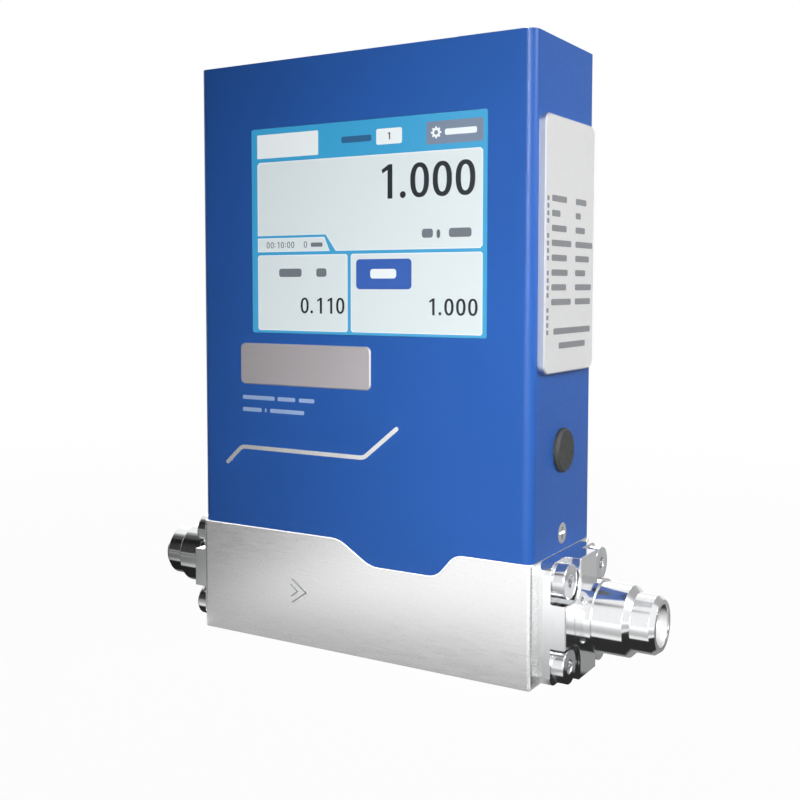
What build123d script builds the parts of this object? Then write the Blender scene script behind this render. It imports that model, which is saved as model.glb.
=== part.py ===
from build123d import *
from math import cos, radians, sin, tan
import os

# Thermal mass flow controller with a touch display, on a 38.1 mm wide valve block.
# Frame: X along the gas flow, inlet at -X and outlet at +X; the display faces -Y; +Z up.
# The origin is the centre of the block's bottom face. All sizes are in millimetres.

os.makedirs("parts", exist_ok=True)

# --- Body: steel block below, sheet cover above -------------------------------------------
body_length = 100.0
body_width = 38.1
body_height = 155.5
block_height = 30.5
block_corner = 1.0
block_edge = 0.3
cover_wall = 1.2
cover_corner = 2.5
fit_gap = 0.02            # radial gap of a piece that is pressed, brazed or glued in
slip_gap = 0.1            # gap of a piece that drops into its opening

# The cover's front wall dips into the block as a tongue between two slopes.
dip_depth = 6.1
dip_left_x = -4.5
dip_right_x = 29.7
dip_left_angle = 31.7
dip_right_angle = 50.0
dip_left_bend = 8.5
dip_right_bend = 5.0
dip_lead = 8.0

# --- Gas path through the block ------------------------------------------------------------
inlet_bore_r = 5.1
inlet_bore_end_x = -6.0
transfer_r = 2.0
riser_r = 1.25
riser_offset = 6.0        # from the valve axis to the riser, towards the inlet
outlet_bore_r = 3.5
outlet_bore_wall = 1.5    # steel left between the riser and the end of the outlet bore
port_seal_recess_r = 7.0
port_seal_thickness = 1.6
port_seal_inner_r = 5.6

# --- End flanges and their screws ----------------------------------------------------------
flange_size = 30.0
flange_corner = 3.0
flange_plate = 3.3
flange_boss = 3.9
flange_edge = 0.3
flange_screw_offset = 10.35
flange_notch_r = 5.0
flange_screw_r = 2.5
flange_screw_head_r = 4.25
flange_screw_head = 3.2
flange_screw_key = 3.0
flange_screw_engagement = 10.0
screw_hole_gap = 0.25     # radial, between a screw and the plate it passes through

# --- Face-seal fittings --------------------------------------------------------------------
fitting_tube_r = 6.5
fitting_bore_r = 3.2
collar_r = 9.3
collar_length = 3.8
barrel_r = 8.7
barrel_length = 7.55
barrel_chamfer = 1.45
land_r = 7.145            # 9/16 inch across
land_length = 4.55
tip_r = 6.2
tip_length = 1.25
socket_r = 5.1
socket_depth = 9.0
leak_hole_r = 0.5
leak_hole_depth = 2.0
leak_hole_angle = 33.5    # above the horizontal, on the front side

# --- Bottom mounting holes, M4 -------------------------------------------------------------
mount_hole_r = 1.65
mount_hole_depth = 7.0
mount_spacing_x = 66.0
mount_spacing_y = 24.0

# --- M3 screws and nuts inside -------------------------------------------------------------
m3_r = 1.5
m3_head_r = 2.75
m3_head = 2.4
m3_depth = 6.0

# --- Thermal sensor ------------------------------------------------------------------------
sensor_x = -22.0
sensor_port_spacing = 26.0
sensor_base_length = 34.0
sensor_base_width = 16.0
sensor_base_height = 6.0
sensor_tube_r = 0.4
sensor_tube_bend = 3.0
sensor_tube_height = 17.5  # from the top of the sensor base to the tube's bridge
sensor_coil_r = 1.3
sensor_coil_length = 8.0
sensor_coil_spacing = 10.0
sensor_housing_wall = 1.2
sensor_housing_height = 23.5
sensor_housing_inset = 1.0
sensor_screw_spacing = 20.0
sensor_screw_y = 5.0
sensor_seal_r = 2.6
sensor_seal_thickness = 1.2
sensor_slot_width = 14.0
sensor_slot = 1.6
bypass_length = 22.0
bypass_groove = 0.9
bypass_groove_count = 6
filter_length = 6.0
filter_wall = 1.0

# --- Proportional valve --------------------------------------------------------------------
valve_x = 22.0
chamber_r = 9.5
chamber_floor_z = 22.0
seat_socket_r = 3.5
seat_socket_depth = 2.0
seat_rim_r = 3.0
seat_height = 1.6
seat_lip_r = 1.5
orifice_r = 0.6
outlet_riser_r = 2.0
spring_thickness = 0.4
spring_slot = 0.9
spring_slot_r = 6.9
spring_slot_arc = 80.0
spigot_length = 4.0
spacer_wall = 1.4
bonnet_back_gap = 0.85    # between the bonnet and the chassis behind it
bonnet_corner = 3.0
bonnet_flange = 4.0
bonnet_screw_edge = 3.0   # from the screw's axis to the bonnet's edge
bonnet_seal_width = 1.6
bonnet_seal_thickness = 1.5
guide_wall = 1.0
guide_height = 29.5       # from the block's top to the end of the guide tube
plunger_r = 5.94
plunger_gap = 0.06        # radial running gap of the plunger in its tube
plunger_length = 17.5
plunger_nose_r = 2.8
plunger_lift = 0.35
pole_gap = 0.45
plunger_seal_r = 2.0
plunger_seal_thickness = 1.4
plunger_seal_proud = 0.4
spring_nut_r = 4.4
spring_nut_height = 1.8
pole_head_r = 7.0
pole_head = 1.5
pole_stud_r = 3.0
pole_stud = 7.5
coil_nut_key = 10.0
coil_nut = 4.0
bobbin_r = 13.0
bobbin_wall = 1.2
bobbin_core = 1.0
winding_r = 12.4
yoke_sheet = 1.5
yoke_screw_gap = 0.25     # between the yoke and the bonnet screws' heads
yoke_side_gap = 0.6
coil_tab_width = 6.0
coil_tab_height = 5.0

# --- Chassis, boards and cables ------------------------------------------------------------
chassis_sheet = 1.2
chassis_back_gap = 0.3
chassis_top_drop = 15.5   # from the roof to the chassis's top
chassis_edge_gap = 0.8
chassis_foot_inner_x = 39.0
chassis_foot_outer_gap = 1.8
chassis_tab_half_width = 8.0
chassis_tab_height = 9.5
chassis_screw_x = 43.0
chassis_screw_y = 5.2
board_thickness = 1.6
board_y = 10.0
board_end_gap = 5.8       # from the cover's inner end wall to the main board
board_bottom_gap = 9.5    # from the block's top to the main board
board_top_drop = 17.5     # from the roof to the board's top
board_step_gap = 2.5      # from the bonnet to the board's lower step
board_step_rise = 3.0     # from the coil stud's top to the board's step
board_inset = 4.0
header_width = 24.0
header_height = 5.0
header_depth = 4.0
sensor_header_width = 14.0
coil_header_width = 9.0
header_spacing = 10.0     # from one cable header to the next piece below it
cable_side_inset = 1.0
# Chips on the main board: centre x, centre above the display's centre, width, height, depth.
board_chips = (
    (-18.0, 1.0, 14.0, 14.0, 1.6),
    (8.0, 1.0, 10.0, 7.0, 2.0),
    (30.0, -7.0, 12.0, 12.0, 6.0),
    (-32.0, -17.0, 8.0, 8.0, 4.0),
)
stud_r = 1.2
stud_hole_gap = 0.15
stud_hex = 4.5
stud_thread = 3.4
stud_nut = 1.6
cable_thickness = 0.5
cable_bend = 2.0

# --- Display -------------------------------------------------------------------------------
display_left_edge = 17.8  # from the cover's inlet end to the display
display_right_edge = 12.0  # from the display to the cover's outlet end
display_drop = 44.6       # from the roof to the display's centre
display_height = 54.2
display_corner = 0.6
module_side_border = 3.35
module_end_border = 4.85
module_thickness = 3.2
display_board_height = 58.0
display_board_edge_x = 3.5  # from the studs' axes to the board's ends
display_board_edge_z = 4.0  # from the studs' axes to the board's top and bottom
display_stud_gap = 0.74     # between the panel and the studs' corners
display_stud_hex = 4.0
display_header_drop = 14.9  # from the display's centre to its board's header
display_chip_size = 10.0
display_chip_offset = (-22.0, 10.0)

# --- Signal connector on the roof, 15-way D shape ------------------------------------------
connector_end_gap = 0.8   # from the flange to the cover's inner end wall
connector_y = 7.0
connector_proud = 5.5
connector_flange_edge = 2.94  # from the jack sockets' axes to the flange's ends
connector_flange_width = 12.5
connector_flange = 0.8
shell_length = 25.0
shell_width = 8.36
shell_corner = 2.6
shell_sheet = 0.4
shell_taper = 10.0
insert_height = 8.0
insert_recess = 0.5
pin_r = 0.5
pin_pitch = 2.77
back_pin_count = 8
front_pin_count = 7
pin_row_spacing = 2.84
pin_recess = 1.0
jack_offset = 4.16        # from the shell's end to the jack socket's axis
jack_hex = 4.75
jack_head = 1.3
jack_r = 1.45
jack_thread_r = 1.1
jack_length = 5.0
connector_board_inset = 1.6
connector_board_width = 16.0
connector_header_drop = 11.0  # from the main board's top to its connector header

# --- Outside of the cover ------------------------------------------------------------------
badge_x = -15.3
badge_drop = 35.6         # from the display's centre to the badge's centre
badge_width = 41.8
badge_height = 11.2
badge_corner = 1.5
badge_proud = 0.5
badge_edge = 0.3
trim_width = 1.1
trim_proud = 0.35
trim_bend = 3.0
trim_points = ((-41.0, 47.8), (-36.0, 52.4), (3.5, 52.4), (13.3, 60.5))
label_y = -0.95
label_top_edge = 18.9     # from the roof to the label
label_bottom_edge = 19.6  # from the label to the plug's axis
label_width = 31.1
label_corner = 2.5
label_proud = 1.8
label_edge = 0.3
plug_y = -1.0
plug_z = 55.8
plug_hole_r = 4.0
plug_waist_gap = 0.05
plug_head_r = 5.5
plug_head = 1.35
plug_rim = 0.6            # bevel of the plug's rim
plug_lip_r = 4.5
plug_lip = 1.2
cover_screw_z = 34.7
cover_screw_head_r = 2.65
cover_screw_length = 6.5
cover_screw_cross = 3.2
cover_screw_cross_width = 0.6
cover_screw_cross_depth = 0.7
countersink_angle = 90.0

# --- Places worked out from the sizes ------------------------------------------------------
half_length = body_length / 2
half_width = body_width / 2
inner_half_length = half_length - cover_wall
inner_half_width = half_width - cover_wall
roof_z = body_height - cover_wall
display_z = body_height - display_drop
display_width = body_length - display_left_edge - display_right_edge
display_x = (display_left_edge - display_right_edge) / 2
module_width = display_width + 2 * module_side_border
module_height = display_height + 2 * module_end_border
badge_z = display_z - badge_drop
label_height = body_height - label_top_edge - label_bottom_edge - plug_z
label_z = body_height - label_top_edge - label_height / 2
port_z = block_height / 2
flange_face_x = half_length + flange_plate + flange_boss
chamber_top_z = block_height - spigot_length
spring_z = chamber_top_z - spring_thickness
spacer_height = spring_z - chamber_floor_z
lip_z = chamber_floor_z + seat_height
guide_bore_r = plunger_r + plunger_gap
guide_r = guide_bore_r + guide_wall
guide_top_z = block_height + guide_height
plunger_top_z = chamber_top_z + plunger_length
bonnet_top_z = block_height + bonnet_flange
yoke_floor_z = bonnet_top_z + yoke_sheet
yoke_roof_z = guide_top_z + pole_head
sensor_base_top_z = block_height + sensor_base_height
sensor_bridge_z = sensor_base_top_z + sensor_tube_height
chassis_back_y = inner_half_width - chassis_back_gap
chassis_front_y = chassis_back_y - chassis_sheet
chassis_top_z = body_height - chassis_top_drop
bonnet_size = 2 * (chassis_front_y - bonnet_back_gap)
bonnet_screw_offset = bonnet_size / 2 - bonnet_screw_edge
yoke_width = 2 * (bonnet_screw_offset - m3_head_r - yoke_screw_gap)
board_back_y = board_y + board_thickness
board_half_width = inner_half_length - board_end_gap
board_bottom_z = block_height + board_bottom_gap
board_top_z = body_height - board_top_drop
board_step_x = valve_x - bonnet_size / 2 - board_step_gap
board_step_z = yoke_roof_z + pole_stud + board_step_rise
header_front_y = board_y - header_depth
display_back_y = -inner_half_width + module_thickness
display_board_back_y = display_back_y + board_thickness
display_header_z = display_z - display_header_drop
display_header_back_y = display_board_back_y + header_depth
display_stud_spacing_x = module_width + 2 * display_stud_gap + display_stud_hex / cos(radians(30))
display_stud_spacing_z = display_board_height - 2 * display_board_edge_z
display_board_width = display_stud_spacing_x + 2 * display_board_edge_x
jack_spacing = shell_length + 2 * jack_offset
connector_flange_length = jack_spacing + 2 * connector_flange_edge
connector_x = inner_half_length - connector_end_gap - connector_flange_length / 2
insert_top_z = roof_z + insert_recess
insert_bottom_z = insert_top_z - insert_height

STANDING = (Align.CENTER, Align.CENTER, Align.MIN)
HANGING = (Align.CENTER, Align.CENTER, Align.MAX)
FRONT = Plane.XZ.offset(half_width)        # looks along -Y; local axes are X and Z
RIGHT = Plane.YZ.offset(half_length)       # looks along +X; local axes are Y and Z
PORT_AXIS = Axis((0, 0, port_z), (1, 0, 0))


# --- Shapes used more than once ------------------------------------------------------------
def cap_screw(head_r, head_height, shank_r, length, key):
    """A hexagon socket screw along -Z, its head standing on the origin."""
    with BuildPart() as screw:
        Cylinder(head_r, head_height, align=STANDING)
        Cylinder(shank_r, length, align=HANGING)
        with BuildSketch(Plane.XY.offset(head_height)):
            RegularPolygon(key / 2, 6, major_radius=False)
        extrude(amount=-head_height / 2, mode=Mode.SUBTRACT)
    return screw.part


def hex_screw(across_flats, head_height, shank_r, length):
    """A hexagon head screw along -Z, its head standing on the origin."""
    with BuildPart() as screw:
        with BuildSketch():
            RegularPolygon(across_flats / 2, 6, major_radius=False)
        extrude(amount=head_height)
        Cylinder(shank_r, length, align=HANGING)
    return screw.part


def spacer_stud(across_flats, body, thread):
    """A hexagon spacer that stands on the origin, with a threaded stud on its free end."""
    with BuildPart() as stud:
        with BuildSketch():
            RegularPolygon(across_flats / 2, 6, major_radius=False)
        extrude(amount=body)
        with Locations((0, 0, body)):
            Cylinder(stud_r, thread, align=STANDING)
    return stud.part


def hex_nut(across_flats, height, bore_r):
    """A hexagon nut standing on the origin."""
    with BuildPart() as nut:
        with BuildSketch():
            RegularPolygon(across_flats / 2, 6, major_radius=False)
            Circle(bore_r, mode=Mode.SUBTRACT)
        extrude(amount=height)
    return nut.part


def flat_cable(points, width, plane):
    """A flat cable that follows a bent centre line drawn on the plane."""
    with BuildPart() as cable:
        with BuildSketch(plane):
            with BuildLine():
                FilletPolyline(*points, radius=cable_bend)
            trace(line_width=cable_thickness)
        extrude(amount=width / 2, both=True)
    return cable.part


def d_outline(length, width, corner):
    """The D shape of the signal connector, with its long side towards +Y."""
    inset = width * tan(radians(shell_taper))
    with BuildSketch() as outline:
        with BuildLine():
            Polyline(
                (-length / 2, width / 2),
                (length / 2, width / 2),
                (length / 2 - inset, -width / 2),
                (-length / 2 + inset, -width / 2),
                close=True,
            )
        make_face()
        fillet(outline.vertices(), corner)
    return outline.sketch


def tongue_outline():
    """The tongue of the cover's front wall, drawn in X and Z."""
    floor_z = block_height - dip_depth
    left_floor_x = dip_left_x + dip_depth / tan(radians(dip_left_angle))
    right_floor_x = dip_right_x - dip_depth / tan(radians(dip_right_angle))
    start = (dip_left_x - dip_lead, block_height)
    end = (dip_right_x + dip_lead, block_height)
    with BuildSketch() as outline:
        with BuildLine():
            FilletPolyline(
                start,
                (dip_left_x, block_height),
                (left_floor_x, floor_z),
                (right_floor_x, floor_z),
                (dip_right_x, block_height),
                end,
                radius=(dip_left_bend, dip_left_bend, dip_right_bend, dip_right_bend),
            )
            Polyline(
                end,
                (end[0], block_height + dip_depth),
                (start[0], block_height + dip_depth),
                start,
            )
        make_face()
    return outline.sketch


# --- Steel block ---------------------------------------------------------------------------
riser_x = valve_x - riser_offset
outlet_bore_end_x = riser_x + riser_r + outlet_bore_wall
chassis_screw_places = [
    (side * chassis_screw_x, row * chassis_screw_y, block_height)
    for side in (-1, 1)
    for row in (-1, 1)
]
sensor_screw_places = [
    (sensor_x + side * sensor_screw_spacing / 2, -side * sensor_screw_y, block_height)
    for side in (-1, 1)
]
bonnet_screw_places = [
    (valve_x + side * bonnet_screw_offset, row * bonnet_screw_offset, block_height)
    for side in (-1, 1)
    for row in (-1, 1)
]
sensor_port_places = [
    (sensor_x + side * sensor_port_spacing / 2, 0, block_height) for side in (-1, 1)
]

with BuildPart() as base_block:
    with BuildSketch():
        RectangleRounded(body_length, body_width, block_corner)
    extrude(amount=block_height)
    with BuildSketch(FRONT):
        add(tongue_outline())
    extrude(amount=-cover_wall, mode=Mode.SUBTRACT)
    # Edge break around the bottom and the top, where it follows the tongue.
    walls = base_block.faces().filter_by(
        lambda face: face.bounding_box().size.Z > block_height - dip_depth
    )
    chamfer(walls.edges().filter_by(Axis.Z, reverse=True), block_edge)
    # Inlet bore, which holds the filter and the bypass, and the transfer bore beyond it.
    with BuildSketch(Plane.YZ.offset(-half_length)):
        with Locations((0, port_z)):
            Circle(inlet_bore_r)
    extrude(amount=half_length + inlet_bore_end_x, mode=Mode.SUBTRACT)
    with BuildSketch(Plane.YZ.offset(inlet_bore_end_x)):
        with Locations((0, port_z)):
            Circle(transfer_r)
    extrude(amount=riser_x + riser_r - inlet_bore_end_x, mode=Mode.SUBTRACT)
    # Outlet bore.
    with BuildSketch(RIGHT):
        with Locations((0, port_z)):
            Circle(outlet_bore_r)
    extrude(amount=outlet_bore_end_x - half_length, mode=Mode.SUBTRACT)
    # Seal recesses in both end faces.
    for end_x, inwards in ((-half_length, 1), (half_length, -1)):
        with BuildSketch(Plane.YZ.offset(end_x)):
            with Locations((0, port_z)):
                Circle(port_seal_recess_r)
        extrude(amount=inwards * port_seal_thickness, mode=Mode.SUBTRACT)
    # Valve chamber from the top, with the seal recess, the riser and the seat socket.
    with BuildSketch(Plane.XY.offset(block_height)):
        with Locations((valve_x, 0)):
            Circle(chamber_r + bonnet_seal_width)
    extrude(amount=-bonnet_seal_thickness, mode=Mode.SUBTRACT)
    with BuildSketch(Plane.XY.offset(block_height)):
        with Locations((valve_x, 0)):
            Circle(chamber_r)
    extrude(amount=chamber_floor_z - block_height, mode=Mode.SUBTRACT)
    with BuildSketch(Plane.XY.offset(chamber_floor_z)):
        with Locations((riser_x, 0)):
            Circle(riser_r)
    extrude(amount=port_z - chamber_floor_z, mode=Mode.SUBTRACT)
    with BuildSketch(Plane.XY.offset(chamber_floor_z)):
        with Locations((valve_x, 0)):
            Circle(seat_socket_r)
    extrude(amount=-seat_socket_depth, mode=Mode.SUBTRACT)
    with BuildSketch(Plane.XY.offset(chamber_floor_z - seat_socket_depth)):
        with Locations((valve_x, 0)):
            Circle(outlet_riser_r)
    extrude(amount=port_z - chamber_floor_z + seat_socket_depth, mode=Mode.SUBTRACT)
    # Sensor ports down to the inlet bore, with a recess for each seal.
    with Locations(*sensor_port_places):
        CounterBoreHole(
            sensor_tube_r + fit_gap, sensor_seal_r, sensor_seal_thickness, block_height - port_z
        )
    # Tapped holes: flange screws in both ends, then the screws from the top and the bottom.
    flange_hole_depth = flange_screw_engagement + m3_r
    for end_plane in (
        Plane((half_length, 0, port_z), x_dir=(0, 1, 0), z_dir=(1, 0, 0)),
        Plane((-half_length, 0, port_z), x_dir=(0, -1, 0), z_dir=(-1, 0, 0)),
    ):
        with Locations(end_plane):
            with GridLocations(2 * flange_screw_offset, 2 * flange_screw_offset, 2, 2):
                Hole(flange_screw_r + fit_gap, flange_hole_depth)
    with Locations(*chassis_screw_places, *sensor_screw_places, *bonnet_screw_places):
        Hole(m3_r + fit_gap, m3_depth + m3_r)
    with Locations(Plane((0, 0, 0), x_dir=(1, 0, 0), z_dir=(0, 0, -1))):
        with GridLocations(mount_spacing_x, mount_spacing_y, 2, 2):
            Hole(mount_hole_r, mount_hole_depth)
base_block.part.label = "base_block"
export_step(base_block.part, "parts/base_block.step")

# --- Cover ---------------------------------------------------------------------------------
with BuildPart() as cover:
    with BuildSketch(Plane.XY.offset(block_height)):
        RectangleRounded(body_length, body_width, cover_corner)
    extrude(amount=body_height - block_height)
    with BuildSketch(Plane.XY.offset(block_height)):
        RectangleRounded(
            2 * inner_half_length, 2 * inner_half_width, cover_corner - cover_wall
        )
    extrude(amount=roof_z - block_height, mode=Mode.SUBTRACT)
    with BuildSketch(FRONT):
        add(tongue_outline())
    extrude(amount=-cover_wall)
    with BuildSketch(FRONT):
        with Locations((display_x, display_z)):
            RectangleRounded(
                display_width + 2 * slip_gap, display_height + 2 * slip_gap, display_corner
            )
    extrude(amount=-cover_wall, mode=Mode.SUBTRACT)
    with BuildSketch(Plane.XY.offset(roof_z)):
        with Locations((connector_x, connector_y)):
            add(
                d_outline(
                    shell_length + 2 * slip_gap, shell_width + 2 * slip_gap, shell_corner + slip_gap
                )
            )
            with GridLocations(jack_spacing, 1, 2, 1):
                Circle(jack_r + slip_gap)
    extrude(amount=cover_wall, mode=Mode.SUBTRACT)
    with BuildSketch(RIGHT):
        with Locations((plug_y, plug_z)):
            Circle(plug_hole_r)
    extrude(amount=-cover_wall, mode=Mode.SUBTRACT)
    for side in (-1, 1):
        with Locations(Plane((side * half_length, 0, cover_screw_z), z_dir=(side, 0, 0))):
            CounterSinkHole(
                m3_r + slip_gap, cover_screw_head_r, cover_wall, countersink_angle
            )
cover.part.label = "cover"
export_step(cover.part, "parts/cover.step")

# --- Outlet flange; the inlet flange is its mirror image -----------------------------------
notch_edge = flange_screw_offset - flange_notch_r
notch_centre = notch_edge + flange_size / 2
with BuildPart() as outlet_flange:
    with BuildSketch(RIGHT):
        with Locations((0, port_z)):
            RectangleRounded(flange_size, flange_size, flange_corner)
            Circle(fitting_tube_r + fit_gap, mode=Mode.SUBTRACT)
            with GridLocations(2 * flange_screw_offset, 2 * flange_screw_offset, 2, 2):
                Circle(flange_screw_r + screw_hole_gap, mode=Mode.SUBTRACT)
    extrude(amount=flange_plate)
    with BuildSketch(RIGHT.offset(flange_plate)):
        with Locations((0, port_z)):
            Rectangle(flange_size, flange_size)
            Circle(fitting_tube_r + fit_gap, mode=Mode.SUBTRACT)
            with GridLocations(2 * notch_centre, 2 * notch_centre, 2, 2):
                RectangleRounded(
                    flange_size, flange_size, flange_notch_r, mode=Mode.SUBTRACT
                )
    extrude(amount=flange_boss)
    chamfer(outlet_flange.faces().sort_by(Axis.X)[-1].outer_wire().edges(), flange_edge)
outlet_flange.part.label = "outlet_flange"
export_step(outlet_flange.part, "parts/outlet_flange.step")

with BuildPart() as inlet_flange:
    add(mirror(outlet_flange.part, about=Plane.YZ, mode=Mode.PRIVATE))
inlet_flange.part.label = "inlet_flange"
export_step(inlet_flange.part, "parts/inlet_flange.step")

# --- Outlet fitting; the inlet fitting is its mirror image ---------------------------------
collar_end_x = flange_face_x + collar_length
barrel_end_x = collar_end_x + barrel_length
land_start_x = barrel_end_x + barrel_chamfer
land_end_x = land_start_x + land_length
fitting_end_x = land_end_x + tip_length
with BuildPart() as outlet_fitting:
    with BuildSketch(Plane.XZ):
        with BuildLine():
            Polyline(
                (half_length, port_z + fitting_bore_r),
                (half_length, port_z + fitting_tube_r),
                (flange_face_x, port_z + fitting_tube_r),
                (flange_face_x, port_z + collar_r),
                (collar_end_x, port_z + collar_r),
                (collar_end_x, port_z + barrel_r),
                (barrel_end_x, port_z + barrel_r),
                (land_start_x, port_z + land_r),
                (land_end_x, port_z + land_r),
                (fitting_end_x, port_z + tip_r),
                (fitting_end_x, port_z + socket_r),
                (fitting_end_x - socket_depth, port_z + socket_r),
                (fitting_end_x - socket_depth, port_z + fitting_bore_r),
                close=True,
            )
        make_face()
    revolve(axis=PORT_AXIS)
    leak_direction = Vector(0, -cos(radians(leak_hole_angle)), sin(radians(leak_hole_angle)))
    leak_origin = Vector(flange_face_x + collar_length / 2, 0, port_z) + leak_direction * collar_r
    with Locations(Plane(leak_origin, z_dir=leak_direction)):
        Hole(leak_hole_r, leak_hole_depth)
outlet_fitting.part.label = "outlet_fitting"
export_step(outlet_fitting.part, "parts/outlet_fitting.step")

with BuildPart() as inlet_fitting:
    add(mirror(outlet_fitting.part, about=Plane.YZ, mode=Mode.PRIVATE))
inlet_fitting.part.label = "inlet_fitting"
export_step(inlet_fitting.part, "parts/inlet_fitting.step")

# --- Flange screws: four in each end -------------------------------------------------------
flange_screw = cap_screw(
    flange_screw_head_r,
    flange_screw_head,
    flange_screw_r,
    flange_plate + flange_screw_engagement,
    flange_screw_key,
)
flange_screw_z = half_length + flange_plate
with BuildPart() as flange_screws:
    for side in (-1, 1):
        with Locations(Plane((side * flange_screw_z, 0, port_z), z_dir=(side, 0, 0))):
            with GridLocations(2 * flange_screw_offset, 2 * flange_screw_offset, 2, 2):
                add(flange_screw)
flange_screws.part.label = "flange_screws"
export_step(flange_screws.part, "parts/flange_screws.step")

# --- Metal seals between the block and the fittings ----------------------------------------
with BuildPart() as port_seals:
    for side in (-1, 1):
        with BuildSketch(Plane.YZ.offset(side * half_length)):
            with Locations((0, port_z)):
                Circle(port_seal_recess_r - slip_gap)
                Circle(port_seal_inner_r, mode=Mode.SUBTRACT)
        extrude(amount=-side * port_seal_thickness)
port_seals.part.label = "port_seals"
export_step(port_seals.part, "parts/port_seals.step")

# --- Inlet filter, a sintered cup pressed into the inlet bore ------------------------------
filter_start_x = -half_length + port_seal_thickness
with BuildPart() as inlet_filter:
    with BuildSketch(Plane.YZ.offset(filter_start_x)):
        with Locations((0, port_z)):
            Circle(inlet_bore_r - fit_gap)
    extrude(amount=filter_length)
    with BuildSketch(Plane.YZ.offset(filter_start_x)):
        with Locations((0, port_z)):
            Circle(inlet_bore_r - filter_wall)
    extrude(amount=filter_length - filter_wall, mode=Mode.SUBTRACT)
inlet_filter.part.label = "inlet_filter"
export_step(inlet_filter.part, "parts/inlet_filter.step")

# --- Laminar bypass between the sensor ports -----------------------------------------------
with BuildPart() as laminar_bypass:
    with BuildSketch(Plane.YZ.offset(sensor_x - bypass_length / 2)):
        with Locations((0, port_z)):
            Circle(inlet_bore_r - fit_gap)
            with PolarLocations(inlet_bore_r, bypass_groove_count):
                Rectangle(2 * bypass_groove, bypass_groove, mode=Mode.SUBTRACT)
    extrude(amount=bypass_length)
laminar_bypass.part.label = "laminar_bypass"
export_step(laminar_bypass.part, "parts/laminar_bypass.step")

# --- Thermal sensor ------------------------------------------------------------------------
with BuildPart() as sensor_base:
    with BuildSketch(Plane.XY.offset(block_height)):
        with Locations((sensor_x, 0)):
            RectangleRounded(sensor_base_length, sensor_base_width, block_corner)
            with GridLocations(sensor_port_spacing, 1, 2, 1):
                Circle(sensor_tube_r + fit_gap, mode=Mode.SUBTRACT)
    extrude(amount=sensor_base_height)
    with Locations(*sensor_screw_places):
        with Locations((0, 0, sensor_base_height)):
            CounterBoreHole(m3_r + slip_gap, m3_head_r + slip_gap, m3_head, sensor_base_height)
sensor_base.part.label = "sensor_base"
export_step(sensor_base.part, "parts/sensor_base.step")

with BuildPart() as sensor_seals:
    for port in sensor_port_places:
        with BuildSketch(Plane.XY.offset(block_height)):
            with Locations(port):
                Circle(sensor_seal_r - slip_gap)
                Circle(sensor_tube_r + slip_gap, mode=Mode.SUBTRACT)
        extrude(amount=-sensor_seal_thickness)
sensor_seals.part.label = "sensor_seals"
export_step(sensor_seals.part, "parts/sensor_seals.step")

sensor_left_x = sensor_x - sensor_port_spacing / 2
sensor_right_x = sensor_x + sensor_port_spacing / 2
sensor_tube_foot_z = block_height - sensor_seal_thickness
with BuildPart() as sensor_tube:
    with BuildLine(Plane.XZ) as sensor_route:
        FilletPolyline(
            (sensor_left_x, sensor_tube_foot_z),
            (sensor_left_x, sensor_bridge_z),
            (sensor_right_x, sensor_bridge_z),
            (sensor_right_x, sensor_tube_foot_z),
            radius=sensor_tube_bend,
        )
    with BuildSketch(Plane((sensor_left_x, 0, sensor_tube_foot_z))):
        Circle(sensor_tube_r)
    sweep()
sensor_tube.part.label = "sensor_tube"
export_step(sensor_tube.part, "parts/sensor_tube.step")

with BuildPart() as sensor_coils:
    for side in (-1, 1):
        coil_centre_x = sensor_x + side * sensor_coil_spacing / 2
        with BuildSketch(Plane.YZ.offset(coil_centre_x)):
            with Locations((0, sensor_bridge_z)):
                Circle(sensor_coil_r)
                Circle(sensor_tube_r + fit_gap, mode=Mode.SUBTRACT)
        extrude(amount=sensor_coil_length / 2, both=True)
sensor_coils.part.label = "sensor_coils"
export_step(sensor_coils.part, "parts/sensor_coils.step")

housing_length = sensor_base_length - 2 * sensor_housing_inset
housing_width = sensor_base_width - 2 * sensor_housing_inset
with BuildPart() as sensor_housing:
    with BuildSketch(Plane.XY.offset(sensor_base_top_z)):
        with Locations((sensor_x, 0)):
            RectangleRounded(housing_length, housing_width, sensor_housing_wall)
    extrude(amount=sensor_housing_height)
    with BuildSketch(Plane.XY.offset(sensor_base_top_z)):
        with Locations((sensor_x, 0)):
            Rectangle(
                housing_length - 2 * sensor_housing_wall, housing_width - 2 * sensor_housing_wall
            )
    extrude(amount=sensor_housing_height - sensor_housing_wall, mode=Mode.SUBTRACT)
    with BuildSketch(Plane.XY.offset(sensor_base_top_z + sensor_housing_height)):
        with Locations((sensor_x, 0)):
            Rectangle(sensor_slot_width, sensor_slot)
    extrude(amount=-sensor_housing_wall, mode=Mode.SUBTRACT)
sensor_housing.part.label = "sensor_housing"
export_step(sensor_housing.part, "parts/sensor_housing.step")

sensor_screw = hex_screw(
    2 * m3_head_r * cos(radians(30)), m3_head, m3_r, m3_depth + sensor_base_height - m3_head
)
with BuildPart() as sensor_screws:
    with Locations(*sensor_screw_places):
        with Locations((0, 0, sensor_base_height - m3_head)):
            add(sensor_screw)
sensor_screws.part.label = "sensor_screws"
export_step(sensor_screws.part, "parts/sensor_screws.step")

# --- Valve: seat, flat spring and plunger --------------------------------------------------
with BuildPart() as valve_seat:
    with BuildSketch(Plane.XZ):
        with BuildLine():
            Polyline(
                (valve_x + orifice_r, chamber_floor_z - seat_socket_depth),
                (valve_x + seat_socket_r - fit_gap, chamber_floor_z - seat_socket_depth),
                (valve_x + seat_socket_r - fit_gap, chamber_floor_z),
                (valve_x + seat_rim_r, chamber_floor_z),
                (valve_x + seat_lip_r, lip_z),
                (valve_x + orifice_r, lip_z),
                close=True,
            )
        make_face()
    revolve(axis=Axis((valve_x, 0, 0), (0, 0, 1)))
valve_seat.part.label = "valve_seat"
export_step(valve_seat.part, "parts/valve_seat.step")

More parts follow.
